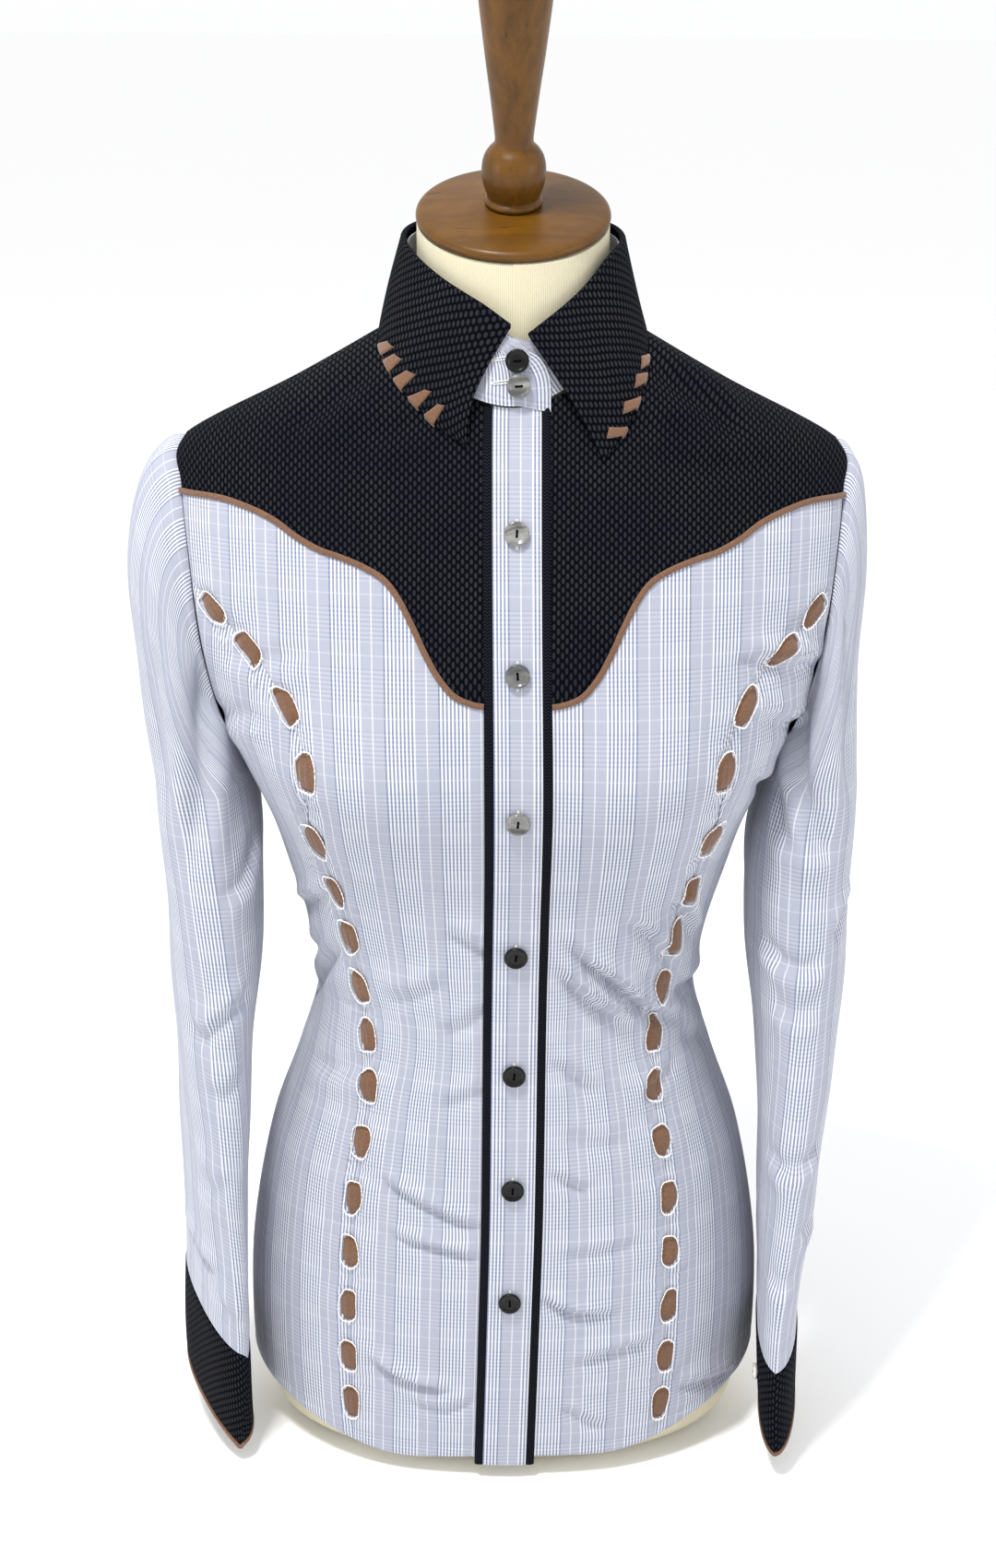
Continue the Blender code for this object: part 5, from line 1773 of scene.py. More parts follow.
    def loose_ends(self, side: Side, number: int, half: float, long: float,
                   points: list[Grid], faces: list[tuple[int, ...]]) -> None:
        """A few frayed threads that stick out of an eyelet's ends."""
        for k in range(self.loose_threads):
            chance = float(uneven(number * 7 + k, side.value + 5))
            end = 1 if k % 2 else -1
            bearing = end * (math.pi / 2 + (chance - 0.5) * 1.3)
            reach = np.array([0.0, 0.5, 1.0])[:, None]
            length = 1.6 + 2.6 * float(uneven(k + number * 3, 9 + side.value))
            a0 = half * math.cos(bearing) + reach * length * math.cos(bearing + chance - 0.5)
            b0 = long * math.sin(bearing) + reach * length * math.sin(bearing + chance - 0.5)
            thin = 0.16 * (1.1 - reach)
            corner = np.array([0, 2 * math.pi / 3, 4 * math.pi / 3])[None]
            out = 0.4 + 0.5 * reach + thin * np.cos(corner)
            strand = self.over_dip(side, number, a0 + thin * np.sin(corner), b0 + 0 * corner, out)
            start = sum(len(x) for x in points)
            points.append(strand.reshape(-1, 3))
            faces += tube_faces(start, 3, 3)
            faces += [(start, start + 2, start + 1), ring_face(start + 6, 3)]

    def build(self) -> None:
        """Builds all the trims of the body."""
        self.build_piping()
        for side in Side:
            self.build_lacing(side)


# ---- Sleeves and cuffs ----

SLEEVE_CREASES = {
    Side.LEFT: (
        Crease(((128, 575), (112, 510), (96, 455), (70, 395)), 4.2, 7.0),
        Crease(((70, 560), (58, 500), (52, 430)), 2.4, 8.0),
        Crease(((170, 430), (130, 400), (96, 392)), 2.2, 5.0),
        Crease(((40, 312), (70, 300), (104, 318), (140, 330)), 2.6, 4.5),
        Crease(((60, 268), (88, 262), (120, 276)), 1.6, 5.0),
        Crease(((20, 205), (60, 196), (100, 205)), 1.4, 6.0),
        Crease(((-30, 150), (10, 138), (50, 132)), 2.4, 4.5),
        Crease(((40, 120), (70, 108), (100, 100)), 1.6, 5.0),
        Crease(((-20, 470), (-40, 420), (-60, 380)), 2.4, 8.0),
        Crease(((-60, 330), (-90, 318), (-130, 326)), 2.6, 6.0),
        Crease(((-50, 240), (-90, 232), (-130, 246)), 1.8, 6.0),
        Crease(((-170, 160), (-130, 150), (-90, 156)), 1.8, 6.0),
    ),
    Side.RIGHT: (
        Crease(((150, 560), (128, 500), (112, 462), (84, 430), (60, 418)), 4.6, 6.5),
        Crease(((96, 600), (72, 560), (58, 500), (50, 440)), 3.0, 8.0),
        Crease(((150, 470), (128, 438), (100, 420)), 2.4, 5.0),
        Crease(((150, 372), (120, 356), (92, 352), (70, 362)), 3.0, 4.5),
        Crease(((20, 392), (44, 380), (62, 366)), 2.8, 4.2),
        Crease(((130, 330), (104, 322), (70, 330)), 1.8, 5.0),
        Crease(((150, 232), (112, 222), (70, 226), (40, 240)), 2.2, 4.5),
        Crease(((70, 182), (48, 176), (26, 184)), 1.8, 4.0),
        Crease(((130, 150), (96, 142), (60, 150)), 1.4, 5.0),
        Crease(((-20, 470), (-44, 424), (-64, 384)), 2.4, 8.0),
        Crease(((-50, 320), (-88, 310), (-128, 320)), 2.6, 6.0),
        Crease(((-50, 226), (-88, 216), (-128, 232)), 1.8, 6.0),
    ),
}


@dataclass
class Sleeve:
    """A sleeve, its pointed cuff, the piping on the cuff and the cuff's button."""

    side: Side
    body: Body
    wardrobe: Wardrobe
    head: Head
    point: Point
    wall: float = 1.0
    square: float = 2.3
    top_height: float = 455
    cuff_depth: float = 56
    cuff_rim: float = 3.2
    seam_bearing: float = -158
    grain_bearing: float = 45
    plaid_phase: float = 14.0
    girth: float = 290
    tube_length: float = 390
    head_rows: int = 71
    bearing_length: float = 0.8
    crispness: float = 1.5
    step: float = 2.9
    cuff_step: float = 2.0
    smooth_rows: tuple[int, int] = (14, 10)
    piping_height: float = 1.45
    piping_corners: int = 12
    button_share: float = 0.45

    def __post_init__(self) -> None:
        """Prepares the tube's curve."""
        self.tube = Curve(SLEEVES[self.side])

    def hang(self, bearing: Grid, height: Grid, inward: Grid | float = 0.0) -> Grid:
        """Points on the hanging tube: bearing 0 is outward, 90 ahead and 180 towards the body."""
        bearing, height = np.broadcast_arrays(np.asarray(bearing, float), np.asarray(height, float))
        across, ahead, thick, broad, yaw = np.moveaxis(self.tube(height), -1, 0)
        s, c = np.sin(np.radians(bearing)), np.cos(np.radians(bearing))
        power = 2 / self.square
        x = (thick - inward) * np.sign(c) * np.abs(c) ** power
        y = (broad - inward) * np.sign(s) * np.abs(s) ** power
        turn = np.radians(yaw)
        out = across + x * np.cos(turn) - y * np.sin(turn)
        forward = ahead + y * np.cos(turn) + x * np.sin(turn)
        return np.stack([self.side.value * out, -forward, height], axis=-1)

    def crown(self, bearing: Grid, share: Grid) -> Grid:
        """Points on the sleeve's head, from the armhole at share 0 to the tube at 1."""
        bearing, share = np.broadcast_arrays(np.asarray(bearing, float), np.asarray(share, float))
        sign, shirt = self.side.value, self.body.shirt
        hole = self.body.pattern.armhole(bearing % 360)
        start = shirt.surface(hole[..., 0] * sign, hole[..., 1], -0.4, creased=0)
        end = self.hang(bearing, np.full(bearing.shape, self.top_height))
        reach = np.linalg.norm(end - start, axis=-1, keepdims=True)
        s, c = np.sin(np.radians(bearing)), np.cos(np.radians(bearing))
        top = (1 + c) / 2
        leave = unit(np.stack([sign * (0.15 + 0.95 * top), -0.3 * s, -0.06 - 0.9 * (1 - top)], axis=-1))
        arrive = unit(np.stack([-sign * self.head.lean * top, 0 * s, -1 + 0 * s], axis=-1))
        first = start + leave * reach * self.head.puff
        second = end - arrive * reach * 0.48
        t = share[..., None]
        return (start * (1 - t) ** 3 + first * 3 * t * (1 - t) ** 2 + second * 3 * t * t * (1 - t)
                + end * t**3)

    def cuff_height(self, bearing: Grid, depth: Grid | float) -> Grid:
        """The height of the cuff's pointed seam, moved down by a depth."""
        down = np.clip(np.asarray(depth) / self.cuff_depth, 0, 1.1)
        tip = self.point.tip_bearing - self.point.slant * down
        away = np.abs((bearing - tip + 180) % 360 - 180) / 180
        low, high = self.point.seam_low, self.point.seam_high
        return low + (high - low) * away**self.point.power - depth * self.point.stretch

    def bearings(self, size: float) -> Grid:
        """Bearings all round, from the seam under the arm."""
        return np.linspace(self.seam_bearing, self.seam_bearing + 360, round(self.girth / size) + 1)

    def threads(self, points: Grid) -> Grid:
        """Places on the sleeve's cut: round it from its outer front, and down it."""
        middle = round(points.shape[1] * (self.grain_bearing - self.seam_bearing) / 360)
        u, v = run_along(points, 1), run_along(points[:, middle])
        return pairs(u - u[:, middle:middle + 1] + self.plaid_phase, -v[:, None])

    def creased(self, points: Grid, bearing: Grid) -> Grid:
        """How far the sleeve's creases and its rumples stand out at each point."""
        total = np.zeros(bearing.shape)
        x, z = bearing * self.bearing_length, points[..., 2]
        for crease in SLEEVE_CREASES[self.side]:
            flat = [(a * self.bearing_length, b) for a, b in crease.path]
            total = total + self.crispness * crease.press(x, z, flat)[0]
        ripple = 0.5 * np.sin(z / 23 + bearing / 31) + 0.35 * np.sin(z / 13 - bearing / 23 + 1.7)
        return total + ripple

    def normals(self, points: Grid) -> Grid:
        """The direction that each point of the sleeve's grid faces."""
        round_it = np.gradient(points, axis=1)
        down_it = np.gradient(points, axis=0)
        return unit(np.cross(round_it, down_it)) * self.side.value

    def build_sleeve(self) -> None:
        """The plaid sleeve from the armhole to the cuff's seam."""
        bearing = self.bearings(self.step)
        shares = np.linspace(0, 1, self.head_rows + 1)[:-1]
        head = self.crown(*np.meshgrid(bearing, shares))
        downs = np.linspace(0, 1, round(self.tube_length / self.step))
        low = self.cuff_height(bearing, -1.0)
        heights = self.top_height + (low[None] - self.top_height) * downs[:, None]
        points = np.concatenate([head, self.hang(np.broadcast_to(bearing, heights.shape), heights)])
        grid = np.broadcast_to(bearing, points.shape[:2])
        cut = self.threads(points)
        facing = self.normals(points)
        rows = np.arange(len(points))[:, None]
        above, below = self.smooth_rows
        away = np.minimum(rows / above, (len(points) - 1 - rows) / below)
        stand = self.creased(points, grid) * eased(away)
        stand = stand - 0.7 * bell(rows, 0.8) + 0.35 * bell(rows - 4, 2.0)
        stand = stand + self.gathers(grid, rows)
        outer = points + facing * stand[..., None]
        name = f"sleeve_{self.side.word}"
        piece = shell_mesh(f"{name}_cloth", outer, outer - facing * self.wall, cut,
                           self.side is Side.LEFT)
        self.body.sheets[name] = sheet_of(outer, cut)
        self.wardrobe.dress(piece, "plaid", name)

    def gathers(self, bearing: Grid, rows: Grid) -> Grid:
        """Small eased ripples where the sleeve's head is set in."""
        top = np.cos(np.radians(bearing) / 2) ** 2
        return 0.35 * top * np.sin(np.radians(bearing) * 21) * bell(rows - 6, 6)

    def build_cuff(self) -> None:
        """The black cuff with its point, and the piping round its lower edge."""
        bearing = self.bearings(self.cuff_step)
        depths = steps(0, self.cuff_depth, self.cuff_step)
        grid, depth = np.meshgrid(bearing, depths)
        height = self.cuff_height(grid, depth)
        edge = np.minimum(depth, self.cuff_depth - depth)
        wave = 0.5 * np.sin(grid / 27 + depth / 12) + 0.3 * np.sin(grid / 14 - depth / 9)
        out = 0.9 + 0.35 * wave - 0.6 * bell(edge, 1.2) - 0.2 * bell(edge - 3.5, 0.8)
        outer = self.hang(grid, height, -out)
        inner = self.hang(grid, height, 1.2)
        cut = self.threads(outer)
        name = f"cuff_{self.side.word}"
        piece = shell_mesh(f"{name}_cloth", outer, inner, cut, self.side is Side.LEFT)
        self.body.sheets[name] = sheet_of(outer, cut)
        self.wardrobe.dress(piece, "dobby", name)
        self.build_rim(bearing)

    def build_rim(self, bearing: Grid) -> None:
        """The suede bead round the cuff's lower edge."""
        middle = self.hang(bearing, self.cuff_height(bearing, self.cuff_depth + self.cuff_rim / 2), 0.2)
        along = unit(np.gradient(middle, axis=0))
        out = unit(self.hang(bearing, middle[:, 2], -2.0) - self.hang(bearing, middle[:, 2], 2.0))
        down = -unit(np.cross(along, out))
        arc = np.linspace(0, 2 * np.pi, self.piping_corners, endpoint=False)
        profile = [(self.cuff_rim / 2 * np.cos(a), self.piping_height * np.sin(a)) for a in arc]
        name = f"cuff_piping_{self.side.word}"
        piece = sweep_mesh(f"{name}_suede", middle[:-1], down[:-1], out[:-1], profile, closed=True)
        self.wardrobe.dress(piece, "suede", name)

    def button_place(self, bearing: float) -> tuple[Vector, Vector]:
        """Where the cuff's button sits and the way it faces."""
        height = float(self.cuff_height(bearing, self.cuff_depth * self.button_share))
        point = Vector(self.hang(bearing, height, -1.2))
        ahead = Vector(self.hang(bearing + 4, height)) - Vector(self.hang(bearing - 4, height))
        facing = ahead.cross(Vector((0, 0, 1))).normalized()
        return point, -facing if facing.x * self.side.value > 0 else facing

    def build(self) -> None:
        """Builds the sleeve and its cuff."""
        self.build_sleeve()
        self.build_cuff()


# ---- Collar ----


@dataclass
class Collar:
    """The collar's leaf, its stand with the tab in front, and the lacing whipped over its edge."""

    body: Body
    wardrobe: Wardrobe
    lift: float = 2.6
    bulge: float = 0.6
    wall: float = 1.4
    roll: float = 1.9
    under_end: float = 12
    stand_overlap: float = 2.6
    stand_inset: float = 3.6
    stand_gap: float = 3.2
    stand_height: float = 40.0
    stand_phase: float = 16
    stand_rows: int = 22
    stand_columns: int = 300
    stand_lift: float = 1.5
    neck_radius: float = 66
    blend_turns: float = 9
    droop: float = 7.8
    droop_turns: float = 16
    leaf_columns: int = 240
    leaf_rows: int = 34
    lace_width: float = 0.0195
    lace_turn: float = 0.72
    lace_crown: float = 0.75
    grain_row: int = 14
    tab_phase: float = 9.0
    tab_edge: Curve = Curve(((0, 18.7), (0.4, 19.3), (0.66, 15.6), (0.85, 9.3), (1, 0.5)))
    lace_places: ClassVar[dict[Side, tuple[float, ...]]] = {
        Side.LEFT: (0.20, 0.268, 0.335, 0.395, 0.447), Side.RIGHT: (0.14, 0.245, 0.335, 0.405)}
    lace_reach: ClassVar[dict[Side, tuple[float, float]]] = {
        Side.LEFT: (0.19, 0.036), Side.RIGHT: (0.118, 0.056)}
    bows: ClassVar[dict[Side, float]] = {Side.LEFT: 7.0, Side.RIGHT: 2.5}

    def stations(self, along: Grid) -> tuple[Grid, Grid, Grid]:
        """Folds, edges and facings of the collar.

        Args:
            along: -1 at the end on the left, 0 at the middle of the back and 1 at the right end.

        Returns:
            The fold's points, the edge's points and the way the cloth under the edge faces.
        """
        along = np.atleast_1d(np.asarray(along, float))
        fold, edge, facing = (np.zeros((len(along), 3)) for _ in range(3))
        for side in Side:
            here = along > 0 if side is Side.RIGHT else along <= 0
            found = Curve(COLLAR[side])(1 - np.abs(along[here]))
            turn, height, reach, edge_turn, level = np.moveaxis(found, -1, 0)
            angle = np.radians(side.value * turn)
            fold[here] = np.stack([reach * np.sin(angle), -reach * np.cos(angle), height], axis=-1)
            edge[here] = self.body.shirt.surface(side.value * edge_turn, level, creased=0.3)
            facing[here] = self.body.shirt.facing(side.value * edge_turn, level)
        return fold, edge, facing

    def leaf(self, along: Grid, share: Grid, inward: float = 0.0) -> tuple[Grid, Grid]:
        """Points on the leaf and the way it faces, from its edge at share 0 to its fold at 1."""
        fold, edge, facing = self.stations(along)
        low = edge + facing * self.lift
        out = unit(fold * (1, 1, 0))
        v = np.asarray(share, float)[:, None, None]
        along = np.atleast_1d(np.asarray(along, float))
        wave = 0.6 * np.sin(along * 9)[None, :, None] * np.sin(v * np.pi)
        bulge = self.bulge * np.sin(v * np.pi) + wave - inward
        grid = low * (1 - v) + fold * v + out * bulge
        for side in Side:
            near = eased(1 - (1 - along * side.value) / 0.3)[None, :]
            grid[..., 0] += side.value * self.bows[side] * near * np.sin(v[..., 0] ** 0.8 * np.pi)
        return grid, np.broadcast_to(out, (len(share), *out.shape))

    def rolled(self, grid: Grid, out: Grid, radius: float) -> Grid:
        """A leaf's grid with more rows, rolled over inwards at its fold."""
        up = np.array([0.0, 0.0, 1.0])
        rows = [grid[-1] - out * radius * (1 - np.cos(a)) + up * radius * np.sin(a)
                for a in np.linspace(0, np.pi * 0.9, 9)[1:]]
        return np.concatenate([grid, rows])

    def build_leaf(self) -> None:
        """The black leaf, rolled over at its fold."""
        along = np.linspace(1, -1, self.leaf_columns)
        shares = np.linspace(0, 1, self.leaf_rows)
        outer, out = self.leaf(along, shares)
        inner, _ = self.leaf(along, shares, self.wall)
        outer = self.rolled(outer, out[-1], self.roll)
        inner = self.rolled(inner, out[-1], self.roll - self.wall)
        gap = edge_gap(outer)
        gap[-12:] = 9
        facing = np.concatenate([out, out[-1:].repeat(len(outer) - len(out), 0)])
        outer = outer - facing * 0.55 * bell(gap, 1.3)[..., None]
        u = run_along(outer[self.grain_row])
        cut = pairs(u - u[len(u) // 2], run_along(outer))
        piece = shell_mesh("collar_leaf", outer, inner, cut)
        self.body.sheets["collar"] = sheet_of(outer, cut)
        self.wardrobe.dress(piece, "dobby", "collar")

    def fold_rows(self, side: Side, around: Grid) -> Grid:
        """The height and reach of one side's fold at some turns."""
        rows = [(leaf.fold_turn, leaf.fold_height, leaf.fold_reach) for leaf in COLLAR[side]]
        return Curve(rows)(np.clip(around, rows[0][0], 180))

    def stand_grid(self, inward: float) -> tuple[Grid, Grid]:
        """Points of the stand and their places on its cut, with the tab's rounded end."""
        rows, cuts = [], []
        for v in np.linspace(0, 1, self.stand_rows):
            end = math.degrees(math.asin(float(self.tab_edge(v)) / self.neck_radius))
            turn = np.linspace(-self.under_end, 360 + end, self.stand_columns)
            around = (turn + 180) % 360 - 180
            left, right = (self.fold_rows(side, np.abs(around)) for side in Side)
            share = eased((around + self.blend_turns) / (2 * self.blend_turns))[:, None]
            share = np.where(np.abs(around)[:, None] > 90, (around > 0)[:, None], share)
            fold = left * (1 - share) + right * share
            low = self.body.shirt.surface(around, self.body.pattern.neck_level, creased=0)
            low[:, 2] += self.stand_lift
            angle = np.radians(around)
            out = np.stack([np.sin(angle), -np.cos(angle), 0 * angle], axis=-1)
            lap = self.stand_overlap * np.clip((turn - 300) / 40, 0, 1)
            droop = self.droop * np.clip((turn - 360) / self.droop_turns, 0, 1.2) ** 1.4 * (1 - v)
            high = out * (fold[:, 1:] - self.stand_inset)
            high[:, 2] = fold[:, 0] - self.stand_gap
            row = low * (1 - v) + high * v + out * (lap - inward)[:, None]
            row[:, 2] -= droop
            rows.append(row)
            run = run_along(row)
            cuts.append(pairs(run[-1] - run + self.tab_phase, v * self.stand_height + self.stand_phase))
        return np.array(rows), np.array(cuts)

    def build_stand(self) -> None:
        """The plaid stand round the neck."""
        outer, cut = self.stand_grid(0.0)
        inner, _ = self.stand_grid(1.1)
        piece = shell_mesh("collar_stand_cloth", outer, inner, cut)
        self.body.sheets["collar_stand"] = sheet_of(outer, cut)
        self.wardrobe.dress(piece, "plaid", "collar_stand")

    def build_lace(self, side: Side) -> None:
        """Suede stitches that wrap round one side of the collar's edge."""
        points, faces, cuts = [], [], []
        for number, place in enumerate(self.lace_places[side]):
            middle = side.value * (1 - place)
            half = self.lace_width * (1 + 0.2 * (float(uneven(number, side.value)) - 0.5))
            across = np.linspace(-1, 1, 9)
            down = np.linspace(0, 1, 12)
            deep, slant = self.lace_reach[side]
            lean = side.value * (slant + 0.010 * float(uneven(number, 6)))
            grid = np.zeros((len(down), len(across), 3))
            for i, d in enumerate(down):
                inner = max(0.0, 1 - d / self.lace_turn)
                narrow = 1 - 0.28 * float(uneven(number, 8)) * inner
                along = middle - across * half * narrow + lean * inner
                reach = (deep + 0.02 * across) * inner
                spots = [self.leaf(a, [r]) for a, r in zip(along, reach)]
                row, out = (np.array([spot[k][0, 0] for spot in spots]) for k in (0, 1))
                lower = self.stations(along)
                drop = unit(lower[1] - lower[0])
                past = max(0.0, d - self.lace_turn) * 9
                crown = self.lace_crown * np.sqrt(np.maximum(1 - across**4, 0)) * (1 if d < 0.9 else 0.3)
                grid[i] = row + drop * past + out * (0.35 + crown - past * 0.75)[:, None]
            under = grid - self.leaf(middle - across * half, [0.05])[1][0] * 0.9
            start = sum(len(x) for x in points)
            points.append(np.concatenate([grid.reshape(-1, 3), under.reshape(-1, 3)]))
            cut = pairs(across * 3, (down * 10 + 20 * number)[:, None])
            cuts.append(np.tile(cut.reshape(-1, 2), (2, 1)))
            faces += (shell_faces(len(down), len(across))[:, ::-1] + start).tolist()
        name = f"collar_lace_{side.word}"
        piece = add_mesh(f"{name}_suede", np.concatenate(points), faces, np.concatenate(cuts))
        self.wardrobe.dress(piece, "suede", name)

    def build(self) -> None:
        """Builds the collar."""
        self.build_leaf()
        self.build_stand()
        for side in Side:
            self.build_lace(side)


# ---- Buttons ----


@dataclass
class Buttons:
    """The shell buttons down the front, on the stand and on the cuffs."""

    body: Body
    wardrobe: Wardrobe
    sleeves: Sequence[Sleeve]
    radius: float = 7.2
    height: float = 2.9
    eye_gap: float = 1.6
    eye_radius: float = 0.78
    strand: float = 0.2
    stand_radius: float = 0.95
    cuff_radius: float = 5.5
    cuff_bearings: tuple[float, float] = (200, 158)
    creased: float = 0.35
    lift: float = 1.6
    hole_lift: float = 1.55
    front_hole: float = 8.1
    stand_hole: float = 7.0
    stand_lean: float = 82
    tab_radius: float = 69.3
    tab_level: float = 697
    tab_taper: float = 0.115
    # Buttons 5 and 7 take the pale copy of the shell and button 6 the grey one: painted reflection on the
    # same shell as the rest.
    keys: ClassVar[dict[int, str]] = {5: "painted_reflection_pale", 6: "painted_reflection_grey", 7: "painted_reflection_pale"}

    def profile(self, radius: float) -> list[tuple[float, float]]:
        """A round-rimmed button with a dished middle."""
        h = self.height
        corners = [(0, 0), (0, radius * 0.78), (h * 0.3, radius * 0.98), (h * 0.62, radius),
                   (h * 0.98, radius * 0.93), (h, radius * 0.80), (h * 0.74, radius * 0.62),
                   (h * 0.66, radius * 0.40), (h * 0.70, radius * 0.12), (h * 0.70, 0)]
        return [corners[0], *rounded(corners[1:-1]), corners[-1]]

    def place(self, point: Vector, facing: Vector, roll: float) -> Matrix:
        """Where a button stands: its Z along the facing and its eyes along a rolled axis."""
        turned = facing.to_track_quat("Z", "Y").to_matrix().to_4x4()
        return Matrix.Translation(point) @ turned @ Matrix.Rotation(math.radians(roll), 4, "Z")

    def add(self, node: str, point: Vector, facing: Vector, radius: float, key: str, roll: float) -> None:
        """Adds a button with its eyes and its thread.

        Args:
            node: the frame's node.
            point: where it stands.
            facing: the way it faces.
            radius: its radius.
            key: its finish.
            roll: how far its eyes are turned from level.
        """
        place = self.place(point, facing, roll)
        shell = turned_mesh(f"{node}_shell", self.profile(radius), 44, place)
        self.wardrobe.dress(shell, key, node)
        points, faces = [], []
        level = self.height * 0.705
        for x in (-self.eye_gap, self.eye_gap):
            self.disc(points, faces, x, level + 0.02, self.eye_radius)
        self.bar(points, faces, level + 0.1)
        turn, shift = np.array(place.to_3x3()), np.array(place.translation)
        thread = add_mesh(f"{node}_thread", np.array(points) @ turn.T + shift, faces)
        self.wardrobe.dress(thread, "shank")

    def disc(self, points: list, faces: list, x: float, level: float, radius: float) -> None:
        """Adds the dark mouth of an eye as a low drum."""
        start, sides = len(points), 14
        for height, size in ((level - 0.2, radius), (level + 0.05, radius), (level + 0.08, radius * 0.7)):
            for k in range(sides):
                angle = math.tau * k / sides
                points.append((x + size * math.cos(angle), size * math.sin(angle), height))
        faces += tube_faces(start, 3, sides)
        faces += [ring_face(start + 2 * sides, sides), ring_face(start, sides, inward=True)]

    def bar(self, points: list, faces: list, level: float) -> None:
        """Adds the threads that run from eye to eye."""
        for strand in (-0.42, -0.14, 0.14, 0.42):
            start, rounds, corners = len(points), 9, 6
            for i in range(rounds):
                t = i / (rounds - 1) * 2 - 1
                lift = level + 0.35 * (1 - t * t)
                for j in range(corners):
                    angle = math.tau * j / corners
                    across, up = self.strand * math.cos(angle), self.strand * math.sin(angle)
                    points.append((t * self.eye_gap, strand + across, lift + up))
            faces += tube_faces(start, rounds, corners, inward=True)
            faces += [ring_face(start, corners), ring_face(start + (rounds - 1) * corners, corners, True)]

    def buttonhole(self, name: str, centre: Callable[[Grid, Grid], Grid], half: float, lean: float) -> None:
        """Adds the stitched slit that a button passes through.

        Args:
            name: the piece's name.
            centre: gives a point on the cloth from distances across and along it.
            half: half the slit's length.
            lean: how far the slit is turned from upright, in degrees.
        """
        angle = np.linspace(0, 2 * np.pi, 64, endpoint=False)
        run, side = half * np.cos(angle), np.sign(np.sin(angle)) * np.abs(np.sin(angle)) ** 0.6 * 0.7
        c, s = math.cos(math.radians(lean)), math.sin(math.radians(lean))
        middle = centre(side * c + run * s, run * c - side * s)
        along = unit(np.roll(middle, -1, 0) - np.roll(middle, 1, 0))
        facing = unit(np.cross(middle[16] - middle[48], middle[0] - middle[32]))
        if facing[1] > 0:
            facing = -facing
        across = unit(np.cross(along, np.broadcast_to(facing, along.shape)))
        corners = np.linspace(0, math.tau, 6, endpoint=False)
        ring = [(0.3 * math.cos(a), 0.26 * math.sin(a)) for a in corners]
        wavy = middle + across * (0.09 * np.cos(32 * angle))[:, None]
        piece = sweep_mesh(name, wavy, across, np.broadcast_to(facing, along.shape), ring, closed=True,
                           along=angle * half)
        self.wardrobe.dress(piece, "edging")

    def build(self) -> None:
        """Builds every button and buttonhole."""
        shirt = self.body.shirt
        for number, level in enumerate(BUTTON_LEVELS, 1):
            point = Vector(shirt.surface(0, level, self.lift, creased=self.creased))
            facing = Vector(shirt.facing(0.0, float(level)))
            roll = 88 + 14 * (float(uneven(number, 4)) - 0.5)
            self.add(f"front_button_{number}", point, facing, self.radius, self.keys.get(number, "jet"), roll)

            def on_placket(a: Grid, b: Grid, level: float = level) -> Grid:
                """A point on the placket beside a button."""
                turn = self.body.strip_turn(level + b, a)
                return shirt.surface(turn, level + b, self.hole_lift, creased=self.creased)
            self.buttonhole(f"front_buttonhole_{number}", on_placket, self.front_hole, 0)
        for number, height in enumerate(STAND_BUTTON_HEIGHTS, 1):
            facing = Vector((0.08, -1, 0.08)).normalized()
            low = shirt.surface(4, self.body.pattern.neck_level, creased=0)
            point = Vector((4.5 - number, low[1] - 4.4 + (height - 695) * 0.09, height))
            # The lower stand button takes the pale copy of the shell: painted reflection.
            key = "painted_reflection_pale" if number == 1 else "jet"
            self.add(f"collar_button_{number}", point, facing, self.radius * self.stand_radius, key, 4)

            def on_stand(a: Grid, b: Grid, x: float = -5.0, z: float = height + 3.0 - number) -> Grid:
                """A point on the stand's tab beside a button."""
                round_it = self.tab_radius - (z + b - self.tab_level) * self.tab_taper
                return np.stack([x + a, -np.sqrt(round_it**2 - (x + a) ** 2), z + b], axis=-1)
            self.buttonhole(f"stand_buttonhole_{number}", on_stand, self.stand_hole, self.stand_lean)
        for sleeve, bearing in zip(self.sleeves, self.cuff_bearings):
            point, facing = sleeve.button_place(bearing)
            self.add(f"cuff_button_{sleeve.side.word}", point, facing, self.cuff_radius, "pearl", 0)


# ---- The dress form ----


FINIAL = (
    (10.05, 0), (10.05, 15.5), (10.8, 16.8), (12.4, 17.0), (13.6, 16.2), (14.4, 15.2), (16.0, 15.4),
    (18.5, 16.4), (22, 17.6), (27, 18.4), (31, 18.5), (35, 18.1), (39, 16.9), (42.5, 14.6),
    (44.5, 12.6), (46.0, 11.4), (47.6, 11.0), (50, 10.95), (66, 12.8), (82, 14.8), (97, 16.8),
    (113, 18.7), (128, 20.4), (138, 20.9), (145, 20.4), (152, 18.2), (157, 13.5), (160, 6.5), (161, 0),
)


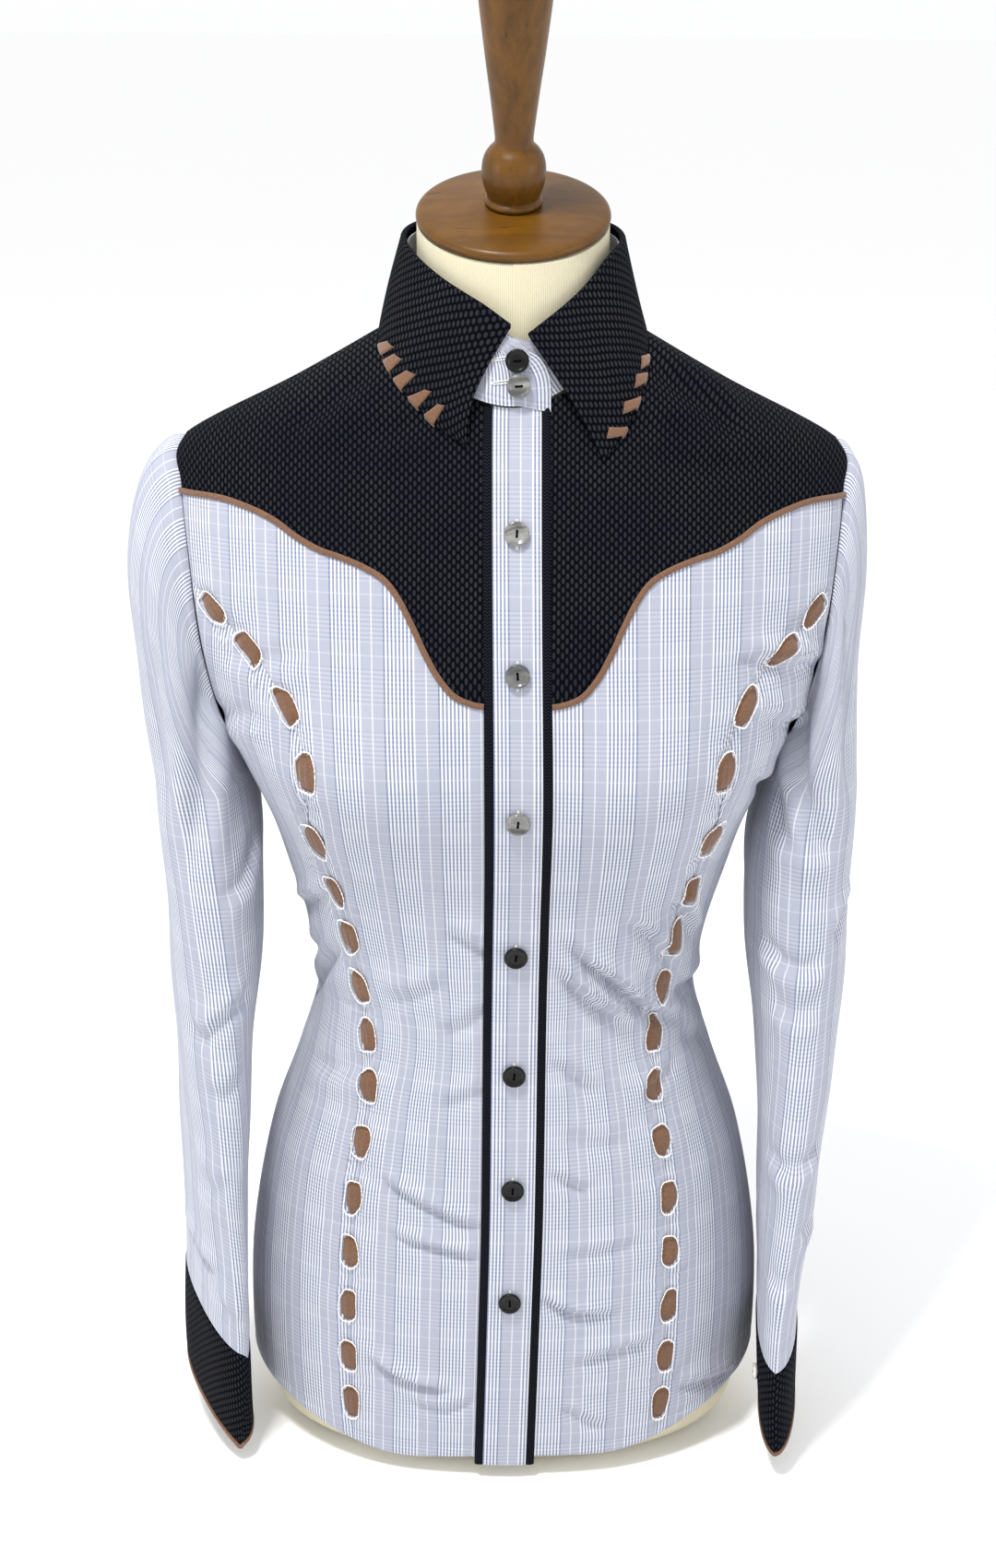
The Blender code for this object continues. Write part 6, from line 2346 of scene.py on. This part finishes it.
@dataclass
class DressForm:
    """The limbless jersey torso, the wooden cap on its neck and the finial."""

    wardrobe: Wardrobe
    cap_radius: float = 56.5
    cap_tilt: float = 20
    cap_centre: tuple[float, float, float] = (0, -2, 793)
    cap_gap: float = 0.5
    rib_squeeze: float = 0.78
    columns: int = 181
    step: float = 4.5
    bottom_levels: tuple[float, ...] = (0, 1, 2.5)

    def build_torso(self) -> None:
        """The torso, closed at its flat bottom and under the cap."""
        outline = Outline(Curve(FORM))
        turns = np.linspace(0, 360, self.columns)
        levels = np.concatenate([self.bottom_levels, steps(FORM[1].level, FORM[-1].level, self.step)])
        turn, level = np.meshgrid(turns, levels)
        rows = outline.point(turn, level)
        top = rows[-1].copy()
        slope = math.tan(math.radians(self.cap_tilt))
        top[:, 2] = self.cap_centre[2] - self.cap_gap + (top[:, 1] - self.cap_centre[1]) * slope
        neck = [rows[-1] * (1 - t) + top * t for t in np.linspace(0, 1, 9)[1:]]
        points = np.concatenate([rows, np.array(neck)])
        cut = pairs(run_along(rows[60]) * self.rib_squeeze, points[:, :, 2])
        count, columns = len(points), len(turns)
        floor, lid = points[0].mean(0), points[-1].mean(0)
        corners = np.concatenate([points.reshape(-1, 3), [floor], [lid]])
        faces = grid_faces(count, columns).tolist()
        last = (count - 1) * columns
        for k in range(columns - 1):
            faces.append((k + 1, k, count * columns))
            faces.append((last + k, last + k + 1, count * columns + 1))
        places = np.concatenate([cut.reshape(-1, 2), [[0, 0]], [[0, 0]]])
        piece = add_mesh("form_jersey", corners, faces, places, 50)
        self.wardrobe.dress(piece, "jersey", "form_torso")

    def build_woodwork(self) -> None:
        """The dished cap with its rounded rim, and the turned finial."""
        tilt = Matrix.Rotation(math.radians(self.cap_tilt), 4, "X")
        place = Matrix.Translation(Vector(self.cap_centre)) @ tilt
        r = self.cap_radius
        cap = ((0, 0), (0, r - 2), (0.6, r - 1), (1.8, r - 0.2), (3.2, r), (4.8, r - 0.5), (6.0, r - 1.8),
               (6.6, r - 4), (7.4, 45), (8.4, 33), (9.3, 22), (9.8, 12), (9.8, 0))
        turned = (("form_cap_wood", "board", "form_neck_cap", cap, 128),
                  ("form_finial_wood", "wood", "form_finial", FINIAL, 96))
        for name, key, node, corners, sides in turned:
            profile = [corners[0], *rounded(corners[1:-1], 0.3), corners[-1]]
            self.wardrobe.dress(turned_mesh(name, profile, sides, place), key, node)

    def build(self) -> None:
        """Builds the form."""
        self.build_torso()
        self.build_woodwork()


# ---- The studio ----


@dataclass
class SoftLight:
    """A large soft light: its name, place, size and power, aimed at the shirt's middle."""

    name: str
    place: tuple[float, float, float]
    size: float
    power: float
    colour: Colour = (1.0, 1.0, 1.0)

    def build(self, aim: Vector) -> None:
        """Adds the light."""
        data = bpy.data.lights.new(self.name, "AREA")
        data.shape, data.size, data.energy, data.color = "SQUARE", self.size, self.power, self.colour
        lamp = bpy.data.objects.new(self.name, data)
        lamp.location = self.place
        lamp.rotation_euler = (aim - Vector(self.place)).to_track_quat("-Z", "Y").to_euler()
        bpy.context.scene.collection.objects.link(lamp)


@dataclass
class Studio:
    """The camera, the pale floor and the soft lights."""

    wardrobe: Wardrobe
    camera_place: tuple[float, float, float] = (-0.0063, -1.344, 0.9336)
    pitch: float = 20.0
    roll: float = 0.45
    lens: float = 52.0
    floor_radius: float = 30.0
    sky: float = 1.0
    lights: tuple[SoftLight, ...] = (
        SoftLight("key", (-0.45, -0.8, 2.3), 0.3, 38.0, (1.0, 0.99, 0.975)),
        SoftLight("left", (-1.7, -0.7, 0.7), 0.9, 5.0),
        SoftLight("right", (1.7, -0.7, 0.7), 0.9, 5.0),
    )

    def build_camera(self) -> None:
        """The camera, tilted down and rolled a little."""
        data = bpy.data.cameras.new("camera")
        data.lens, data.sensor_width = self.lens, 36.0
        camera = bpy.data.objects.new("camera", data)
        a, r = math.radians(self.pitch), math.radians(self.roll)
        ahead = Vector((0, math.cos(a), -math.sin(a)))
        right, up = Vector((1, 0, 0)), Vector((0, math.sin(a), math.cos(a)))
        rolled_up = up * math.cos(r) - right * math.sin(r)
        rolled_right = right * math.cos(r) + up * math.sin(r)
        turn = Matrix((rolled_right, rolled_up, -ahead)).transposed()
        camera.matrix_world = Matrix.Translation(Vector(self.camera_place)) @ turn.to_4x4()
        bpy.context.scene.collection.objects.link(camera)
        bpy.context.scene.camera = camera

    def build_floor(self) -> None:
        """A wide pale floor that isn't part of the object."""
        angle = np.linspace(0, 2 * np.pi, 65)[:-1]
        rim = np.stack([np.cos(angle), np.sin(angle), 0 * angle], axis=-1) * self.floor_radius / MM
        floor = add_mesh("floor", rim, [tuple(range(64))])
        floor.location.z = -0.0004
        floor.data.materials.append(self.wardrobe.materials["floor"])

    def build_sky(self) -> None:
        """Even light from all round."""
        world = bpy.data.worlds.new("studio")
        world.use_nodes = True
        background = world.node_tree.nodes["Background"]
        background.inputs["Color"].default_value = (0.99, 0.993, 1.0, 1.0)
        background.inputs["Strength"].default_value = self.sky
        bpy.context.scene.world = world
        bpy.context.scene.view_settings.view_transform = "Standard"

    def build(self) -> None:
        """Builds the studio round the object."""
        self.build_camera()
        self.build_floor()
        self.build_sky()
        low, high = CAD_BOX
        for light in self.lights:
            light.build((low + high) / 2)


# ---- Putting it together ----


def declare_sheets(sheets: dict[str, Sheet]) -> None:
    """Logs what each cloth piece was cut from.

    Args:
        sheets: the flat cut of each piece, by the node that it stands for.
    """
    for node, cut in sheets.items():
        LOG.info("%s cut from %.0f x %.0f mm, %.0f cm2", node, cut.width / MM, cut.length / MM,
                 cut.area * 1e4)


def main() -> None:
    """Builds the studio and every piece, in order."""
    logging.basicConfig(level=logging.INFO, format="%(message)s")
    wardrobe = Wardrobe()
    Studio(wardrobe).build()
    DressForm(wardrobe).build()
    body = Body(Shirt(), wardrobe)
    body.build()
    Trims(body, wardrobe).build()
    sleeves = (
        Sleeve(Side.LEFT, body, wardrobe, Head(0.21, 0.13), Point(112, 112, 74, 34, 0.85, 1.1)),
        Sleeve(Side.RIGHT, body, wardrobe, Head(0.12, -0.1), Point(92, 106, 79, 0, 1.0, 1.04)),
    )
    for sleeve in sleeves:
        sleeve.build()
    Collar(body, wardrobe).build()
    Buttons(body, wardrobe, sleeves).build()
    declare_sheets(body.sheets)


if __name__ == "__main__":
    main()
